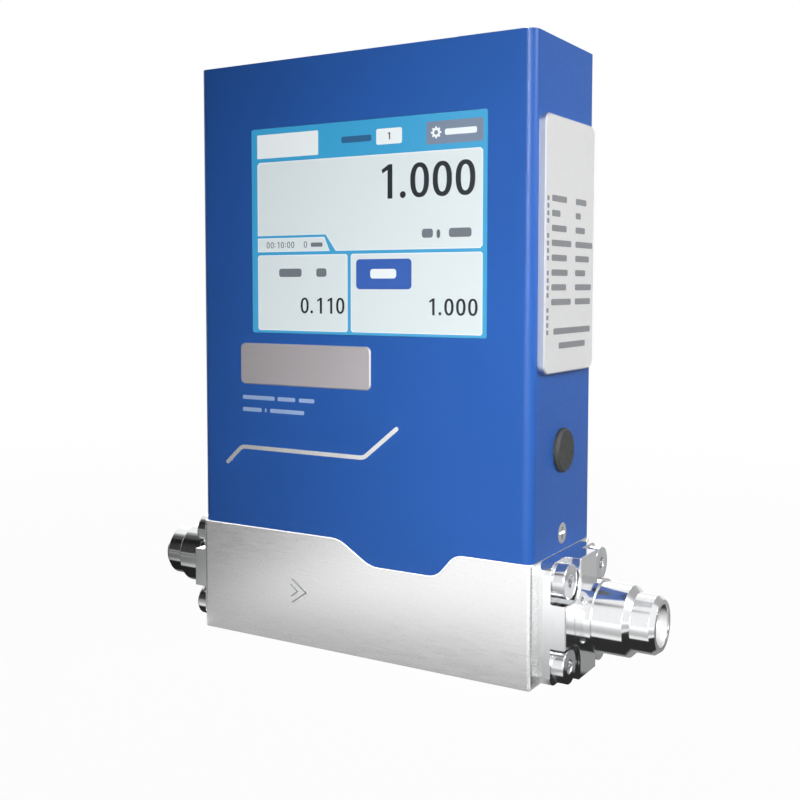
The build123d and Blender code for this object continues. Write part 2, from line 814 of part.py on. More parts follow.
with BuildPart() as spring_spacer:
    with BuildSketch(Plane.XY.offset(chamber_floor_z)):
        with Locations((valve_x, 0)):
            Circle(chamber_r - slip_gap)
            Circle(chamber_r - spacer_wall, mode=Mode.SUBTRACT)
    extrude(amount=spacer_height)
spring_spacer.part.label = "spring_spacer"
export_step(spring_spacer.part, "parts/spring_spacer.step")

with BuildPart() as flat_spring:
    with BuildSketch(Plane.XY.offset(spring_z)):
        with Locations((valve_x, 0)):
            Circle(chamber_r - slip_gap)
            Circle(plunger_nose_r + fit_gap, mode=Mode.SUBTRACT)
        for turn in (0, 120, 240):
            with Locations(Location((valve_x, 0), turn)):
                SlotArc(
                    CenterArc((0, 0), spring_slot_r, 0, spring_slot_arc),
                    spring_slot,
                    mode=Mode.SUBTRACT,
                )
    extrude(amount=spring_thickness)
flat_spring.part.label = "flat_spring"
export_step(flat_spring.part, "parts/flat_spring.step")

nose_bottom_z = lip_z + plunger_seal_proud
with BuildPart() as plunger:
    with BuildSketch(Plane.XY.offset(chamber_top_z)):
        with Locations((valve_x, 0)):
            Circle(plunger_r)
    extrude(amount=plunger_length)
    with BuildSketch(Plane.XY.offset(nose_bottom_z)):
        with Locations((valve_x, 0)):
            Circle(plunger_nose_r)
    extrude(amount=chamber_top_z - nose_bottom_z)
    with BuildSketch(Plane.XY.offset(nose_bottom_z)):
        with Locations((valve_x, 0)):
            Circle(plunger_seal_r + fit_gap)
    extrude(amount=plunger_seal_thickness - plunger_seal_proud, mode=Mode.SUBTRACT)
plunger.part.label = "plunger"
export_step(plunger.part, "parts/plunger.step")

with BuildPart() as plunger_seal:
    with BuildSketch(Plane.XY.offset(lip_z)):
        with Locations((valve_x, 0)):
            Circle(plunger_seal_r)
    extrude(amount=plunger_seal_thickness)
plunger_seal.part.label = "plunger_seal"
export_step(plunger_seal.part, "parts/plunger_seal.step")

with BuildPart() as plunger_nut:
    with BuildSketch(Plane.XY.offset(spring_z)):
        with Locations((valve_x, 0)):
            Circle(spring_nut_r)
            Circle(plunger_nose_r + fit_gap, mode=Mode.SUBTRACT)
    extrude(amount=-spring_nut_height)
plunger_nut.part.label = "plunger_nut"
export_step(plunger_nut.part, "parts/plunger_nut.step")

# --- Valve: bonnet with guide tube, pole and coil ------------------------------------------
with BuildPart() as valve_bonnet:
    with BuildSketch(Plane.XY.offset(block_height)):
        with Locations((valve_x, 0)):
            RectangleRounded(bonnet_size, bonnet_size, bonnet_corner)
            with GridLocations(2 * bonnet_screw_offset, 2 * bonnet_screw_offset, 2, 2):
                Circle(m3_r + slip_gap, mode=Mode.SUBTRACT)
    extrude(amount=bonnet_flange)
    with BuildSketch(Plane.XY.offset(chamber_top_z)):
        with Locations((valve_x, 0)):
            Circle(chamber_r - fit_gap)
    extrude(amount=spigot_length)
    with BuildSketch(Plane.XY.offset(bonnet_top_z)):
        with Locations((valve_x, 0)):
            Circle(guide_r)
    extrude(amount=guide_top_z - bonnet_top_z)
    with BuildSketch(Plane.XY.offset(chamber_top_z)):
        with Locations((valve_x, 0)):
            Circle(guide_bore_r)
    extrude(amount=guide_top_z - chamber_top_z, mode=Mode.SUBTRACT)
valve_bonnet.part.label = "valve_bonnet"
export_step(valve_bonnet.part, "parts/valve_bonnet.step")

with BuildPart() as bonnet_seal:
    with BuildSketch(Plane.XY.offset(block_height)):
        with Locations((valve_x, 0)):
            Circle(chamber_r + bonnet_seal_width - slip_gap)
            Circle(chamber_r, mode=Mode.SUBTRACT)
    extrude(amount=-bonnet_seal_thickness)
bonnet_seal.part.label = "bonnet_seal"
export_step(bonnet_seal.part, "parts/bonnet_seal.step")

bonnet_screw = hex_screw(2 * m3_head_r, m3_head, m3_r, m3_depth + bonnet_flange)
with BuildPart() as bonnet_screws:
    with Locations(*bonnet_screw_places):
        with Locations((0, 0, bonnet_flange)):
            add(bonnet_screw)
bonnet_screws.part.label = "bonnet_screws"
export_step(bonnet_screws.part, "parts/bonnet_screws.step")

pole_face_z = plunger_top_z + pole_gap
with BuildPart() as pole_piece:
    with BuildSketch(Plane.XY.offset(pole_face_z)):
        with Locations((valve_x, 0)):
            Circle(guide_bore_r - fit_gap)
    extrude(amount=guide_top_z - pole_face_z)
    with BuildSketch(Plane.XY.offset(guide_top_z)):
        with Locations((valve_x, 0)):
            Circle(pole_head_r)
    extrude(amount=pole_head)
    with BuildSketch(Plane.XY.offset(yoke_roof_z)):
        with Locations((valve_x, 0)):
            Circle(pole_stud_r)
    extrude(amount=pole_stud)
pole_piece.part.label = "pole_piece"
export_step(pole_piece.part, "parts/pole_piece.step")

coil_bore_r = max(guide_r, pole_head_r) + slip_gap
bobbin_height = yoke_roof_z - yoke_floor_z
with BuildPart() as coil_bobbin:
    with BuildSketch(Plane.XY.offset(yoke_floor_z)):
        with Locations((valve_x, 0)):
            Circle(bobbin_r)
    extrude(amount=bobbin_wall)
    with BuildSketch(Plane.XY.offset(yoke_roof_z - bobbin_wall)):
        with Locations((valve_x, 0)):
            Circle(bobbin_r)
    extrude(amount=bobbin_wall)
    with BuildSketch(Plane.XY.offset(yoke_floor_z)):
        with Locations((valve_x, 0)):
            Circle(coil_bore_r + bobbin_core)
    extrude(amount=bobbin_height)
    # Terminal tab, behind the yoke's upper leg.
    tab_front_y = yoke_width / 2 + slip_gap
    tab_depth = bobbin_r - bobbin_wall - tab_front_y
    with BuildSketch(Plane.XY.offset(yoke_roof_z - bobbin_wall)):
        with Locations((valve_x, tab_front_y + tab_depth / 2)):
            Rectangle(coil_tab_width, tab_depth)
    extrude(amount=bobbin_wall + coil_tab_height)
    with BuildSketch(Plane.XY.offset(yoke_floor_z)):
        with Locations((valve_x, 0)):
            Circle(coil_bore_r)
    extrude(amount=bobbin_height, mode=Mode.SUBTRACT)
coil_bobbin.part.label = "coil_bobbin"
export_step(coil_bobbin.part, "parts/coil_bobbin.step")

with BuildPart() as coil_winding:
    with BuildSketch(Plane.XY.offset(yoke_floor_z + bobbin_wall)):
        with Locations((valve_x, 0)):
            Circle(winding_r)
            Circle(coil_bore_r + bobbin_core, mode=Mode.SUBTRACT)
    extrude(amount=bobbin_height - 2 * bobbin_wall)
coil_winding.part.label = "coil_winding"
export_step(coil_winding.part, "parts/coil_winding.step")

yoke_inner_half = bobbin_r + yoke_side_gap
yoke_height = bobbin_height + 2 * yoke_sheet
with BuildPart() as coil_yoke:
    with BuildSketch(Plane.XZ):
        with Locations((valve_x, bonnet_top_z + yoke_height / 2)):
            Rectangle(2 * (yoke_inner_half + yoke_sheet), yoke_height)
            Rectangle(2 * yoke_inner_half, bobbin_height, mode=Mode.SUBTRACT)
    extrude(amount=yoke_width / 2, both=True)
    with BuildSketch(Plane.XY.offset(bonnet_top_z)):
        with Locations((valve_x, 0)):
            Circle(guide_r + fit_gap)
    extrude(amount=yoke_sheet, mode=Mode.SUBTRACT)
    with BuildSketch(Plane.XY.offset(yoke_roof_z)):
        with Locations((valve_x, 0)):
            Circle(pole_stud_r + fit_gap)
    extrude(amount=yoke_sheet, mode=Mode.SUBTRACT)
coil_yoke.part.label = "coil_yoke"
export_step(coil_yoke.part, "parts/coil_yoke.step")

with BuildPart() as coil_nut_piece:
    with Locations((valve_x, 0, yoke_roof_z + yoke_sheet)):
        add(hex_nut(coil_nut_key, coil_nut, pole_stud_r + fit_gap))
coil_nut_piece.part.label = "coil_nut"
export_step(coil_nut_piece.part, "parts/coil_nut.step")

# --- Chassis: one folded sheet that carries the main board and takes the cover screws ------
foot_outer_x = inner_half_length - chassis_foot_outer_gap
with BuildPart() as chassis:
    with BuildSketch(Plane.XZ.offset(-chassis_back_y)):
        with Locations((0, (block_height + chassis_top_z) / 2)):
            Rectangle(
                2 * (inner_half_length - chassis_edge_gap), chassis_top_z - block_height
            )
    extrude(amount=chassis_sheet)
    for side in (-1, 1):
        with BuildSketch(Plane.XY.offset(block_height)):
            with Locations(
                (side * (foot_outer_x + chassis_foot_inner_x) / 2,
                 (chassis_back_y - chassis_tab_half_width) / 2)
            ):
                Rectangle(
                    foot_outer_x - chassis_foot_inner_x, chassis_back_y + chassis_tab_half_width
                )
            with Locations((side * (foot_outer_x + inner_half_length) / 2, 0)):
                Rectangle(chassis_foot_outer_gap, 2 * chassis_tab_half_width)
        extrude(amount=chassis_sheet)
        with BuildSketch(Plane.YZ.offset(side * inner_half_length)):
            with Locations((0, block_height + chassis_tab_height / 2)):
                Rectangle(2 * chassis_tab_half_width, chassis_tab_height)
        extrude(amount=-side * chassis_sheet)
        with Locations(
            Plane((side * inner_half_length, 0, cover_screw_z), z_dir=(side, 0, 0))
        ):
            Hole(m3_r + fit_gap, chassis_sheet)
    with Locations(*chassis_screw_places):
        with Locations((0, 0, chassis_sheet)):
            Hole(m3_r + slip_gap, chassis_sheet)
chassis.part.label = "chassis"
export_step(chassis.part, "parts/chassis.step")

chassis_screw = hex_screw(2 * m3_head_r, m3_head, m3_r, m3_depth + chassis_sheet)
with BuildPart() as chassis_screws:
    with Locations(*chassis_screw_places):
        with Locations((0, 0, chassis_sheet)):
            add(chassis_screw)
chassis_screws.part.label = "chassis_screws"
export_step(chassis_screws.part, "parts/chassis_screws.step")

# --- Main board, its studs and nuts --------------------------------------------------------
board_stud_places = [
    (-board_half_width + board_inset, board_bottom_z + board_inset),
    (-board_half_width + board_inset, board_top_z - board_inset),
    (board_half_width - board_inset, board_top_z - board_inset),
    (board_half_width - board_inset, board_step_z + board_inset),
]
display_cable_z = display_header_z - header_spacing
connector_cable_z = board_top_z - connector_header_drop
sensor_cable_z = sensor_base_top_z + sensor_housing_height + header_spacing
coil_cable_z = board_step_z + header_spacing - cable_thickness
# Cable headers on the board's front: centre x, centre z, width.
board_headers = (
    (display_x, display_cable_z, header_width),
    (connector_x, connector_cable_z, header_width),
    (sensor_x, sensor_cable_z, sensor_header_width),
    (valve_x, coil_cable_z, coil_header_width),
)
board_front_plane = Plane.XZ.offset(-board_y)
with BuildPart() as main_board:
    with BuildSketch(Plane.XZ.offset(-board_back_y)):
        with BuildLine():
            Polyline(
                (-board_half_width, board_bottom_z),
                (board_step_x, board_bottom_z),
                (board_step_x, board_step_z),
                (board_half_width, board_step_z),
                (board_half_width, board_top_z),
                (-board_half_width, board_top_z),
                close=True,
            )
        make_face()
        with Locations(*board_stud_places):
            Circle(stud_r + stud_hole_gap, mode=Mode.SUBTRACT)
    extrude(amount=board_thickness)
    with BuildSketch(board_front_plane):
        for header_x, header_z, width in board_headers:
            with Locations((header_x, header_z)):
                Rectangle(width, header_height)
    extrude(amount=header_depth)
    for chip_x, chip_rise, chip_width, chip_height, chip_depth in board_chips:
        with BuildSketch(board_front_plane):
            with Locations((chip_x, display_z + chip_rise)):
                Rectangle(chip_width, chip_height)
        extrude(amount=chip_depth)
main_board.part.label = "main_board"
export_step(main_board.part, "parts/main_board.step")

board_stud = spacer_stud(stud_hex, chassis_front_y - board_back_y, board_thickness + stud_thread)
with BuildPart() as board_studs:
    with Locations(Plane((0, chassis_front_y, 0), x_dir=(1, 0, 0), z_dir=(0, -1, 0))):
        with Locations(*board_stud_places):
            add(board_stud)
board_studs.part.label = "board_studs"
export_step(board_studs.part, "parts/board_studs.step")

stud_nut_shape = hex_nut(stud_hex, stud_nut, stud_r + fit_gap)
with BuildPart() as board_nuts:
    with Locations(Plane((0, board_y, 0), x_dir=(1, 0, 0), z_dir=(0, -1, 0))):
        with Locations(*board_stud_places):
            add(stud_nut_shape)
board_nuts.part.label = "board_nuts"
export_step(board_nuts.part, "parts/board_nuts.step")

# --- Display: touch glass, panel, driver board, studs and nuts -----------------------------
with BuildPart() as display_glass:
    with BuildSketch(FRONT):
        with Locations((display_x, display_z)):
            RectangleRounded(display_width, display_height, display_corner)
    extrude(amount=-cover_wall)
display_glass.part.label = "display_glass"
export_step(display_glass.part, "parts/display_glass.step")

with BuildPart() as display_panel:
    with BuildSketch(Plane.XZ.offset(inner_half_width)):
        with Locations((display_x, display_z)):
            Rectangle(module_width, module_height)
    extrude(amount=-module_thickness)
display_panel.part.label = "display_panel"
export_step(display_panel.part, "parts/display_panel.step")

with BuildPart() as display_board:
    with BuildSketch(Plane.XZ.offset(-display_back_y)):
        with Locations((display_x, display_z)):
            Rectangle(display_board_width, display_board_height)
            with GridLocations(display_stud_spacing_x, display_stud_spacing_z, 2, 2):
                Circle(stud_r + stud_hole_gap, mode=Mode.SUBTRACT)
    extrude(amount=-board_thickness)
    with BuildSketch(Plane.XZ.offset(-display_board_back_y)):
        with Locations((display_x, display_header_z)):
            Rectangle(header_width, header_height)
        with Locations((display_x + display_chip_offset[0], display_z + display_chip_offset[1])):
            Rectangle(display_chip_size, display_chip_size)
    extrude(amount=-header_depth)
display_board.part.label = "display_board"
export_step(display_board.part, "parts/display_board.step")

display_stud = spacer_stud(display_stud_hex, module_thickness, board_thickness + stud_thread)
with BuildPart() as display_studs:
    with Locations(Plane((display_x, -inner_half_width, display_z), x_dir=(1, 0, 0), z_dir=(0, 1, 0))):
        with GridLocations(display_stud_spacing_x, display_stud_spacing_z, 2, 2):
            add(display_stud)
display_studs.part.label = "display_studs"
export_step(display_studs.part, "parts/display_studs.step")

display_nut_shape = hex_nut(display_stud_hex, stud_nut, stud_r + fit_gap)
with BuildPart() as display_nuts:
    with Locations(Plane((display_x, display_board_back_y, display_z), x_dir=(1, 0, 0), z_dir=(0, 1, 0))):
        with GridLocations(display_stud_spacing_x, display_stud_spacing_z, 2, 2):
            add(display_nut_shape)
display_nuts.part.label = "display_nuts"
export_step(display_nuts.part, "parts/display_nuts.step")

# --- Signal connector ----------------------------------------------------------------------
shell_top_z = body_height + connector_proud
with BuildPart() as connector_shell:
    with BuildSketch(Plane.XY.offset(roof_z - connector_flange)):
        with Locations((connector_x, connector_y)):
            RectangleRounded(connector_flange_length, connector_flange_width, block_corner)
            with GridLocations(jack_spacing, 1, 2, 1):
                Circle(jack_r + slip_gap, mode=Mode.SUBTRACT)
    extrude(amount=connector_flange)
    with BuildSketch(Plane.XY.offset(roof_z)):
        with Locations((connector_x, connector_y)):
            add(d_outline(shell_length, shell_width, shell_corner))
    extrude(amount=shell_top_z - roof_z)
    with BuildSketch(Plane.XY.offset(roof_z - connector_flange)):
        with Locations((connector_x, connector_y)):
            add(
                d_outline(
                    shell_length - 2 * shell_sheet, shell_width - 2 * shell_sheet, shell_corner - shell_sheet
                )
            )
    extrude(amount=shell_top_z - roof_z + connector_flange, mode=Mode.SUBTRACT)
connector_shell.part.label = "connector_shell"
export_step(connector_shell.part, "parts/connector_shell.step")

pin_rows = ((back_pin_count, pin_row_spacing / 2), (front_pin_count, -pin_row_spacing / 2))
with BuildPart() as connector_insert:
    with BuildSketch(Plane.XY.offset(insert_bottom_z)):
        with Locations((connector_x, connector_y)):
            add(
                d_outline(
                    shell_length - 2 * (shell_sheet + fit_gap),
                    shell_width - 2 * (shell_sheet + fit_gap),
                    shell_corner - shell_sheet,
                )
            )
    extrude(amount=insert_height)
connector_insert.part.label = "connector_insert"
export_step(connector_insert.part, "parts/connector_insert.step")

# The pins are moulded into the insert and stand on its face.
with BuildPart() as connector_pins:
    with BuildSketch(Plane.XY.offset(insert_top_z)):
        for count, row_y in pin_rows:
            with Locations((connector_x, connector_y + row_y)):
                with GridLocations(pin_pitch, 1, count, 1):
                    Circle(pin_r)
    extrude(amount=shell_top_z - pin_recess - insert_top_z)
connector_pins.part.label = "connector_pins"
export_step(connector_pins.part, "parts/connector_pins.step")

with BuildPart() as jack_nut:
    with BuildSketch():
        RegularPolygon(jack_hex / 2, 6, major_radius=False)
    extrude(amount=jack_head)
    Cylinder(jack_r, jack_length, align=HANGING)
    with Locations((0, 0, jack_head)):
        Hole(jack_thread_r, jack_head + jack_length / 2)
with BuildPart() as connector_jacks:
    with Locations((connector_x, connector_y, body_height)):
        with GridLocations(jack_spacing, 1, 2, 1):
            add(jack_nut.part)
connector_jacks.part.label = "connector_jacks"
export_step(connector_jacks.part, "parts/connector_jacks.step")

with BuildPart() as connector_board:
    with BuildSketch(Plane.XY.offset(insert_bottom_z)):
        with Locations((connector_x, connector_y)):
            Rectangle(connector_flange_length - 2 * connector_board_inset, connector_board_width)
    extrude(amount=-board_thickness)
connector_board.part.label = "connector_board"
export_step(connector_board.part, "parts/connector_board.step")

# --- Flat cables ---------------------------------------------------------------------------
cable_bend_y = (display_header_back_y + header_front_y) / 2
display_cable_route = (
    (display_header_back_y, display_header_z),
    (cable_bend_y, display_header_z),
    (cable_bend_y, display_cable_z),
    (header_front_y, display_cable_z),
)
with BuildPart() as display_cable:
    add(flat_cable(display_cable_route, header_width - 2 * cable_side_inset, Plane.YZ.offset(display_x)))
display_cable.part.label = "display_cable"
export_step(display_cable.part, "parts/display_cable.step")

connector_cable_y = header_front_y - 2 * cable_bend
connector_cable_route = (
    (connector_cable_y, insert_bottom_z - board_thickness),
    (connector_cable_y, connector_cable_z),
    (header_front_y, connector_cable_z),
)
with BuildPart() as connector_cable:
    add(flat_cable(connector_cable_route, header_width - 2 * cable_side_inset, Plane.YZ.offset(connector_x)))
connector_cable.part.label = "connector_cable"
export_step(connector_cable.part, "parts/connector_cable.step")

sensor_cable_route = (
    (0.0, sensor_bridge_z + sensor_coil_r),
    (0.0, sensor_cable_z),
    (header_front_y, sensor_cable_z),
)
with BuildPart() as sensor_cable:
    add(flat_cable(sensor_cable_route, sensor_header_width - 2 * cable_side_inset, Plane.YZ.offset(sensor_x)))
sensor_cable.part.label = "sensor_cable"
export_step(sensor_cable.part, "parts/sensor_cable.step")

coil_tab_y = tab_front_y + tab_depth / 2
coil_tab_top_z = yoke_roof_z + coil_tab_height
coil_lead_y = board_y - header_depth / 2
with BuildPart() as coil_leads:
    with BuildSketch(Plane.YZ.offset(valve_x)):
        with BuildLine():
            Polyline(
                (coil_tab_y, coil_tab_top_z),
                (coil_tab_y, coil_tab_top_z + cable_bend),
                (coil_lead_y, coil_tab_top_z + 3 * cable_bend),
                (coil_lead_y, coil_cable_z - header_height / 2),
            )
        trace(line_width=cable_thickness)
    extrude(amount=coil_tab_width / 3, both=True)
coil_leads.part.label = "coil_leads"
export_step(coil_leads.part, "parts/coil_leads.step")

# --- Outside of the cover ------------------------------------------------------------------
with BuildPart() as badge_plate:
    with BuildSketch(FRONT):
        with Locations((badge_x, badge_z)):
            RectangleRounded(badge_width, badge_height, badge_corner)
    extrude(amount=badge_proud)
    chamfer(badge_plate.faces().sort_by(Axis.Y)[0].edges(), badge_edge)
badge_plate.part.label = "badge_plate"
export_step(badge_plate.part, "parts/badge_plate.step")

with BuildPart() as trim_strip:
    with BuildSketch(FRONT):
        with BuildLine():
            FilletPolyline(*trim_points, radius=trim_bend)
        trace(line_width=trim_width)
        with Locations(trim_points[0], trim_points[-1]):
            Circle(trim_width / 2)
    extrude(amount=trim_proud)
trim_strip.part.label = "trim_strip"
export_step(trim_strip.part, "parts/trim_strip.step")

with BuildPart() as label_plate:
    with BuildSketch(RIGHT):
        with Locations((label_y, label_z)):
            RectangleRounded(label_width, label_height, label_corner)
    extrude(amount=label_proud)
    chamfer(label_plate.faces().sort_by(Axis.X)[-1].edges(), label_edge)
label_plate.part.label = "label_plate"
export_step(label_plate.part, "parts/label_plate.step")

plug_waist_r = plug_hole_r - plug_waist_gap
plug_face_x = half_length + plug_head
with BuildPart() as access_plug:
    with BuildSketch(Plane.XY.offset(plug_z)):
        with BuildLine():
            Polyline(
                (inner_half_length - plug_lip, plug_y),
                (inner_half_length - plug_lip, plug_y + plug_waist_r),
                (inner_half_length, plug_y + plug_lip_r),
                (inner_half_length, plug_y + plug_waist_r),
                (half_length, plug_y + plug_waist_r),
                (half_length, plug_y + plug_head_r),
                (plug_face_x - plug_rim, plug_y + plug_head_r),
                (plug_face_x, plug_y + plug_head_r - plug_rim),
                (plug_face_x, plug_y),
                close=True,
            )
        make_face()
    revolve(axis=Axis((0, plug_y, plug_z), (1, 0, 0)))
access_plug.part.label = "access_plug"
export_step(access_plug.part, "parts/access_plug.step")

cone_height = (cover_screw_head_r - m3_r) / tan(radians(countersink_angle / 2))
with BuildPart() as cover_screw:
    with BuildSketch(Plane.XZ):
        with BuildLine():
            Polyline(
                (0, 0),
                (cover_screw_head_r, 0),
                (m3_r, -cone_height),
                (m3_r, -cover_screw_length),
                (0, -cover_screw_length),
                close=True,
            )
        make_face()
    revolve(axis=Axis.Z)
    with BuildSketch():
        Rectangle(cover_screw_cross, cover_screw_cross_width)
        Rectangle(cover_screw_cross_width, cover_screw_cross)
    extrude(amount=-cover_screw_cross_depth, mode=Mode.SUBTRACT)
with BuildPart() as cover_screws:
    for side in (-1, 1):
        with Locations(Plane((side * half_length, 0, cover_screw_z), z_dir=(side, 0, 0))):
            add(cover_screw.part)
cover_screws.part.label = "cover_screws"
export_step(cover_screws.part, "parts/cover_screws.step")
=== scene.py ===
"""Looks of a thermal mass flow controller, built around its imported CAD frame.

Sizes are in millimetres in the frame's own axes: X along the gas flow, -Y the display side,
+Z up, origin at the centre of the block's bottom face. MM turns them into metres. Places in
the studio round the object are in metres.
"""

import math

import bmesh
import bpy
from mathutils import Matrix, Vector


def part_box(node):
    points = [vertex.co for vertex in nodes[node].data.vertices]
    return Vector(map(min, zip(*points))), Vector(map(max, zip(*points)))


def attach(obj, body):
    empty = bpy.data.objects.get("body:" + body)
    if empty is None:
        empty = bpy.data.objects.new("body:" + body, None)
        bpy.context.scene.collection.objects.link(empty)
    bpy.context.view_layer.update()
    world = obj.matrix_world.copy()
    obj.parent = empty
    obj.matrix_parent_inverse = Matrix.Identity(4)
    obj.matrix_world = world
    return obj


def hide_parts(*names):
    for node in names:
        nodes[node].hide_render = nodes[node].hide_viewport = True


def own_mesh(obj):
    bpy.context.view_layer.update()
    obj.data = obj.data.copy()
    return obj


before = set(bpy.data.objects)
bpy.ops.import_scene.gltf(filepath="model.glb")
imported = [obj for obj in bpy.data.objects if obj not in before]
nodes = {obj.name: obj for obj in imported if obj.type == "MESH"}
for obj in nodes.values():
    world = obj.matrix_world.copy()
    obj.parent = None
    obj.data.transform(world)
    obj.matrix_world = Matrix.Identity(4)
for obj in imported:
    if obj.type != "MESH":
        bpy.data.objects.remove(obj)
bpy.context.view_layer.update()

MM = 0.001
HOUSING = "housing"

# --- Camera --------------------------------------------------------------------------------
IMAGE_SIZE = 800
FOCAL_PX = 1110.14
CENTRE_PX = (380.581, 357.425)
CAMERA_PLACE = (154.668, -257.364, 96.396)
CAMERA_AZIMUTH = math.radians(31.537)
CAMERA_ELEVATION = math.radians(3.696)
SENSOR_MM = 36.0
CLIP_START = 0.01
CLIP_END = 50.0


def make_camera():
    """The camera of the photograph."""
    data = bpy.data.cameras.new("camera")
    data.sensor_width = SENSOR_MM
    data.lens = SENSOR_MM * FOCAL_PX / IMAGE_SIZE
    data.shift_x = 0.5 - CENTRE_PX[0] / IMAGE_SIZE
    data.shift_y = CENTRE_PX[1] / IMAGE_SIZE - 0.5
    data.clip_start = CLIP_START
    data.clip_end = CLIP_END
    camera = bpy.data.objects.new("camera", data)
    camera.location = Vector(CAMERA_PLACE) * MM
    back = Vector(
        (
            math.sin(CAMERA_AZIMUTH) * math.cos(CAMERA_ELEVATION),
            -math.cos(CAMERA_AZIMUTH) * math.cos(CAMERA_ELEVATION),
            math.sin(CAMERA_ELEVATION),
        )
    )
    camera.rotation_mode = "QUATERNION"
    camera.rotation_quaternion = (-back).to_track_quat("-Z", "Y")
    bpy.context.scene.collection.objects.link(camera)
    bpy.context.scene.camera = camera


# --- Places and pieces ---------------------------------------------------------------------
def low_corner(node):
    """A CAD node's lowest corner, in millimetres."""
    return [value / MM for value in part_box(node)[0]]


def high_corner(node):
    """A CAD node's highest corner, in millimetres."""
    return [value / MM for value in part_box(node)[1]]


def skin_loop(shape, rows, smooth=False):
    """Covers a closed run of closed rows of vertices with faces."""
    for row, after in zip(rows, rows[1:] + rows[:1]):
        for side in range(len(row)):
            next_side = (side + 1) % len(row)
            face = shape.faces.new((row[side], after[side], after[next_side], row[next_side]))
            face.smooth = smooth
    bmesh.ops.recalc_face_normals(shape, faces=shape.faces)


def add_piece(name, shape, material):
    """Makes a finished shape a piece that rides on the housing."""
    mesh = bpy.data.meshes.new(name)
    shape.to_mesh(mesh)
    shape.free()
    mesh.materials.append(material)
    piece = bpy.data.objects.new(name, mesh)
    bpy.context.scene.collection.objects.link(piece)
    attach(piece, HOUSING)


# --- Node helpers --------------------------------------------------------------------------
WHITE = (1, 1, 1, 1)
# Nearly all of a noise lies between these two values.
NOISE_LOW = 0.3
NOISE_HIGH = 0.7
BEVEL_SAMPLES = 6


def srgb(red, green, blue):
    """A colour written as 0 to 255 sRGB, as the linear values that Blender uses."""

    def linear(value):
        share = value / 255
        return share / 12.92 if share <= 0.04045 else ((share + 0.055) / 1.055) ** 2.4

    return (linear(red), linear(green), linear(blue), 1.0)


def shade(colour, factor):
    """The colour, darker by a factor below 1 and lighter by one above it."""
    return tuple(min(1.0, part * factor) for part in colour[:3]) + (1.0,)


